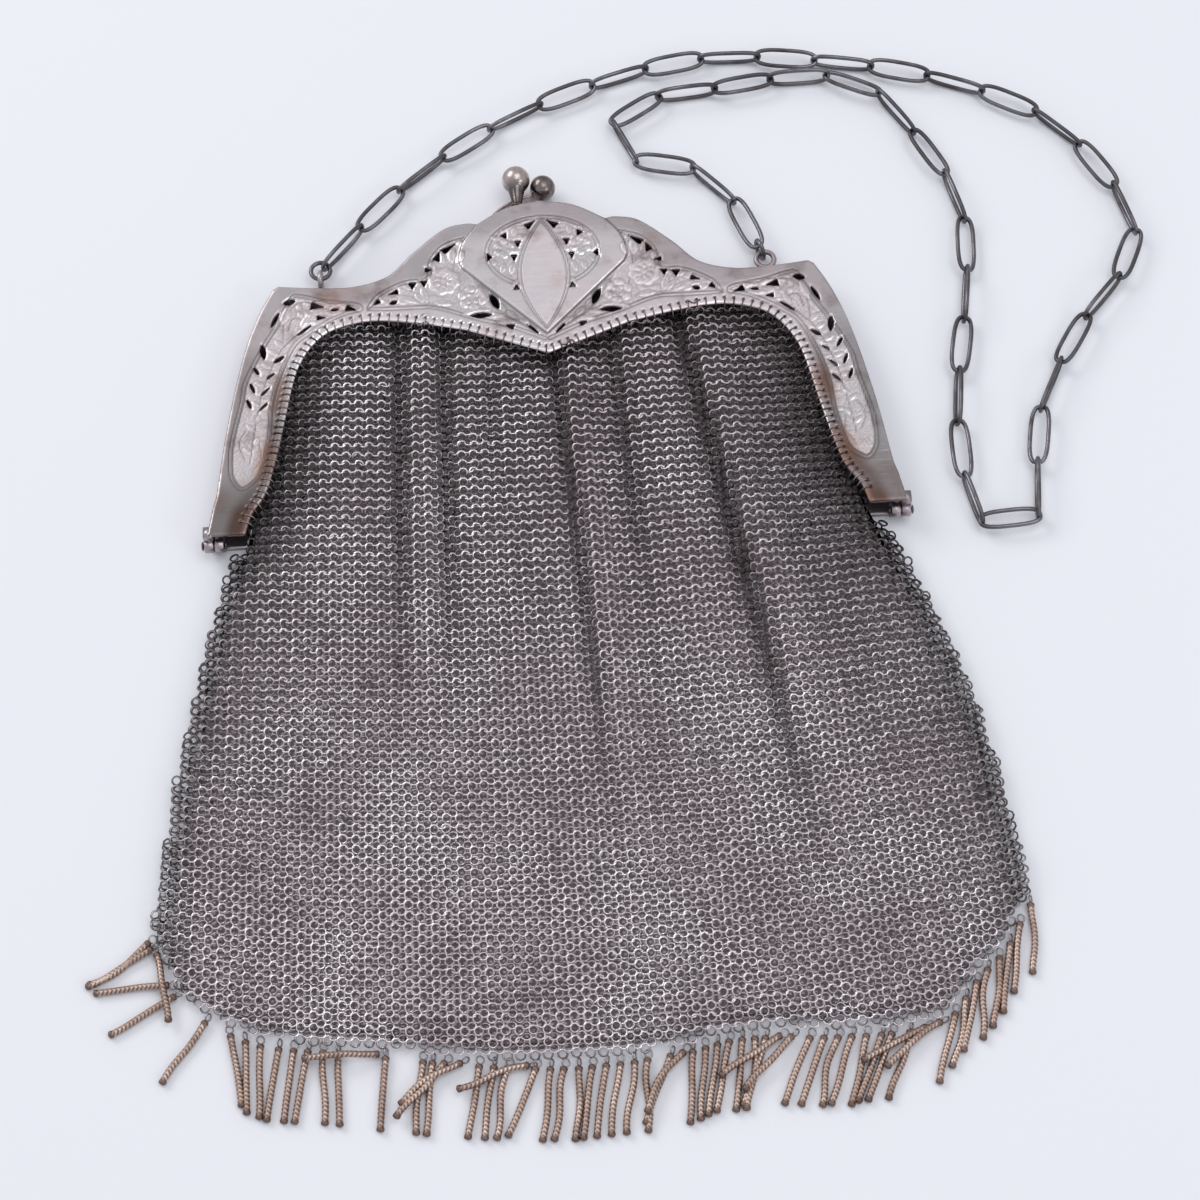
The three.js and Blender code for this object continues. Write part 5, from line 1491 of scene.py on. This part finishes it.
# Groups of cords: first and last place as shares of half the hem, how many, the first and last one's
# lean in degrees, their bend, and how many cords they lie over.
CORD_GROUPS = [
    (-0.976, -0.97, 2, -57, -60, -24, 0), (-0.93, -0.93, 1, -84, -84, 5, 0),
    (-0.916, -0.916, 1, -63, -63, -10, 0), (-0.966, -0.966, 1, 16, 16, -26, 1),
    (-0.849, -0.849, 1, -33, -33, 8, 0), (-0.798, -0.73, 3, 10, -1, -3, 0),
    (-0.688, -0.558, 5, -9, -3, 4, 0), (-0.463, -0.463, 1, -89, -89, 5, 2),
    (-0.452, -0.452, 1, -10, -10, 3, 0), (-0.37, -0.348, 2, -9, -10, 2, 0),
    (-0.317, -0.281, 2, -42, -55, 16, 1), (-0.245, -0.18, 3, -10, -12, 2, 0),
    (-0.132, -0.132, 1, -71, -71, 4, 1), (-0.119, -0.119, 1, -27, -27, -6, 0),
    (-0.087, 0.129, 8, -8, -11, 3, 0), (0.182, 0.182, 1, -17, -17, 5, 0),
    (0.213, 0.213, 1, -37, -37, 24, 1),
    (0.23, 0.37, 6, -8, -12, 3, 0), (0.396, 0.396, 1, -20, -20, 4, 0), (0.432, 0.457, 2, -60, -46, 28, 1),
    (0.495, 0.62, 5, -23, -20, 3, 0), (0.655, 0.678, 2, -23, -24, 3, 0), (0.718, 0.718, 1, -18, -18, 2, 0),
    (0.758, 0.758, 1, -67, -67, 6, 1), (0.792, 0.792, 1, -52, -52, 24, 1), (0.823, 1.022, 8, -17, -9, 3, 0),
]
CORD_START, CORD_STEPS, CORD_SIDES = 1.3, 72, 8
CORD_SWAY, LEAN_SPREAD = 11, 2.5
cord_line = moved_in(hem_line, CORD_START)


def cord_rows():
    """One row for each cord: its place along the hem, lean, bend and what it lies over."""
    rows = []
    for first, last, count, lean_a, lean_b, bend, over in CORD_GROUPS:
        share = np.linspace(0, 1, count)
        rows.append(np.column_stack([first + (last - first) * share, lean_a + (lean_b - lean_a) * share,
                                     np.full(count, bend), np.full(count, over)]))
    return np.concatenate(rows)


def cord_paths():
    """Paths that start under the hem, turn evenly and sway once on their way."""
    place, lean, bend, over = cord_rows().T
    start_x = place * BAG_HALF
    t = np.linspace(0, 1, CORD_STEPS + 1)
    swing = rng.uniform(-CORD_SWAY, CORD_SWAY, len(place))[:, None]
    phase = rng.uniform(0, 1, len(place))[:, None]
    sway = swing * np.sin(2 * np.pi * (t + phase))
    lean = lean + rng.normal(0, LEAN_SPREAD, len(place))
    angle = np.radians(lean[:, None] + bend[:, None] * (t - 0.5) + sway)
    step = CORD_LONG / CORD_STEPS
    x = start_x[:, None] + np.cumsum(np.sin(angle), 1) * step
    y = height_on(cord_line, start_x)[:, None] - np.cumsum(np.cos(angle), 1) * step
    lift = 1.1 * CORD_R + 1.5 * CORD_R * over
    z = HEM_CORD_Z + (lift - HEM_CORD_Z)[:, None] * smooth(t, 0, 0.5)[None]
    return np.stack([x, y, z], -1), t


# %% [markdown]
# A cord is swept like a wire, with an outline of its own for every step. The ribs lean one way on
# one side and the other way on the next, which reads as a herringbone.

# %% Cords and their rings
RIB_STEP, RIB_SLANT, RIB_HIGH, CAP_LONG = 0.96, 2.4, 0.09, 1.0
HANG_R, HANG_WIRE, HANG_TONE = 0.85, 0.2, 0.45


def cords(paths, t):
    """Tubes with slanting ribs: the radius is one plus a wave of the run and the angle round it."""
    around = 2 * np.pi * np.arange(CORD_SIDES) / CORD_SIDES
    slant = RIB_SLANT * np.abs(((around + np.pi / 2) % np.pi) - np.pi / 2)
    weave = np.sin(2 * np.pi * (t * CORD_LONG / RIB_STEP)[:, None] + slant)
    cap = np.minimum(t, 1 - t) * CORD_LONG < CAP_LONG
    weave[cap] = 0.2
    swell = np.where(cap, 1.05, 0.92)
    swell[[0, -1]] = 0.0
    swell[[1, -2]] = 0.85
    radius = CORD_R * swell[:, None] * (1 + RIB_HIGH * weave)
    recess = np.clip(np.clip(0.42 - 0.55 * weave, 0, 1) + 0.5 * cap[:, None], 0, 1)
    shape = sweep(paths, UP, radius[..., None] * circle(CORD_SIDES), False)
    return shape, np.tile(recess.ravel(), len(paths))


paths, along = cord_paths()
cord_shape, cord_recess = cords(paths, along)
add_piece("fringe_cords", cord_shape, "cord_rose", ["fringe"], {"recess": cord_recess},
          merge=True)

lead = unit(paths[:, 1] - paths[:, 3])
level = unit(np.cross(UP, lead))
tilt = np.where(np.arange(len(paths)) % 2 == 0, 0.35, 1.1)[:, None]
sideways = level * np.cos(tilt) + UP * np.sin(tilt)
hang_shape = rings(paths[:, 0] + lead * 0.75, lead, sideways, HANG_R, HANG_WIRE, 14, 5)
add_piece("fringe_rings", hang_shape, "ring_silver", (),
          {"tone": np.full(len(hang_shape[0]), HANG_TONE)})
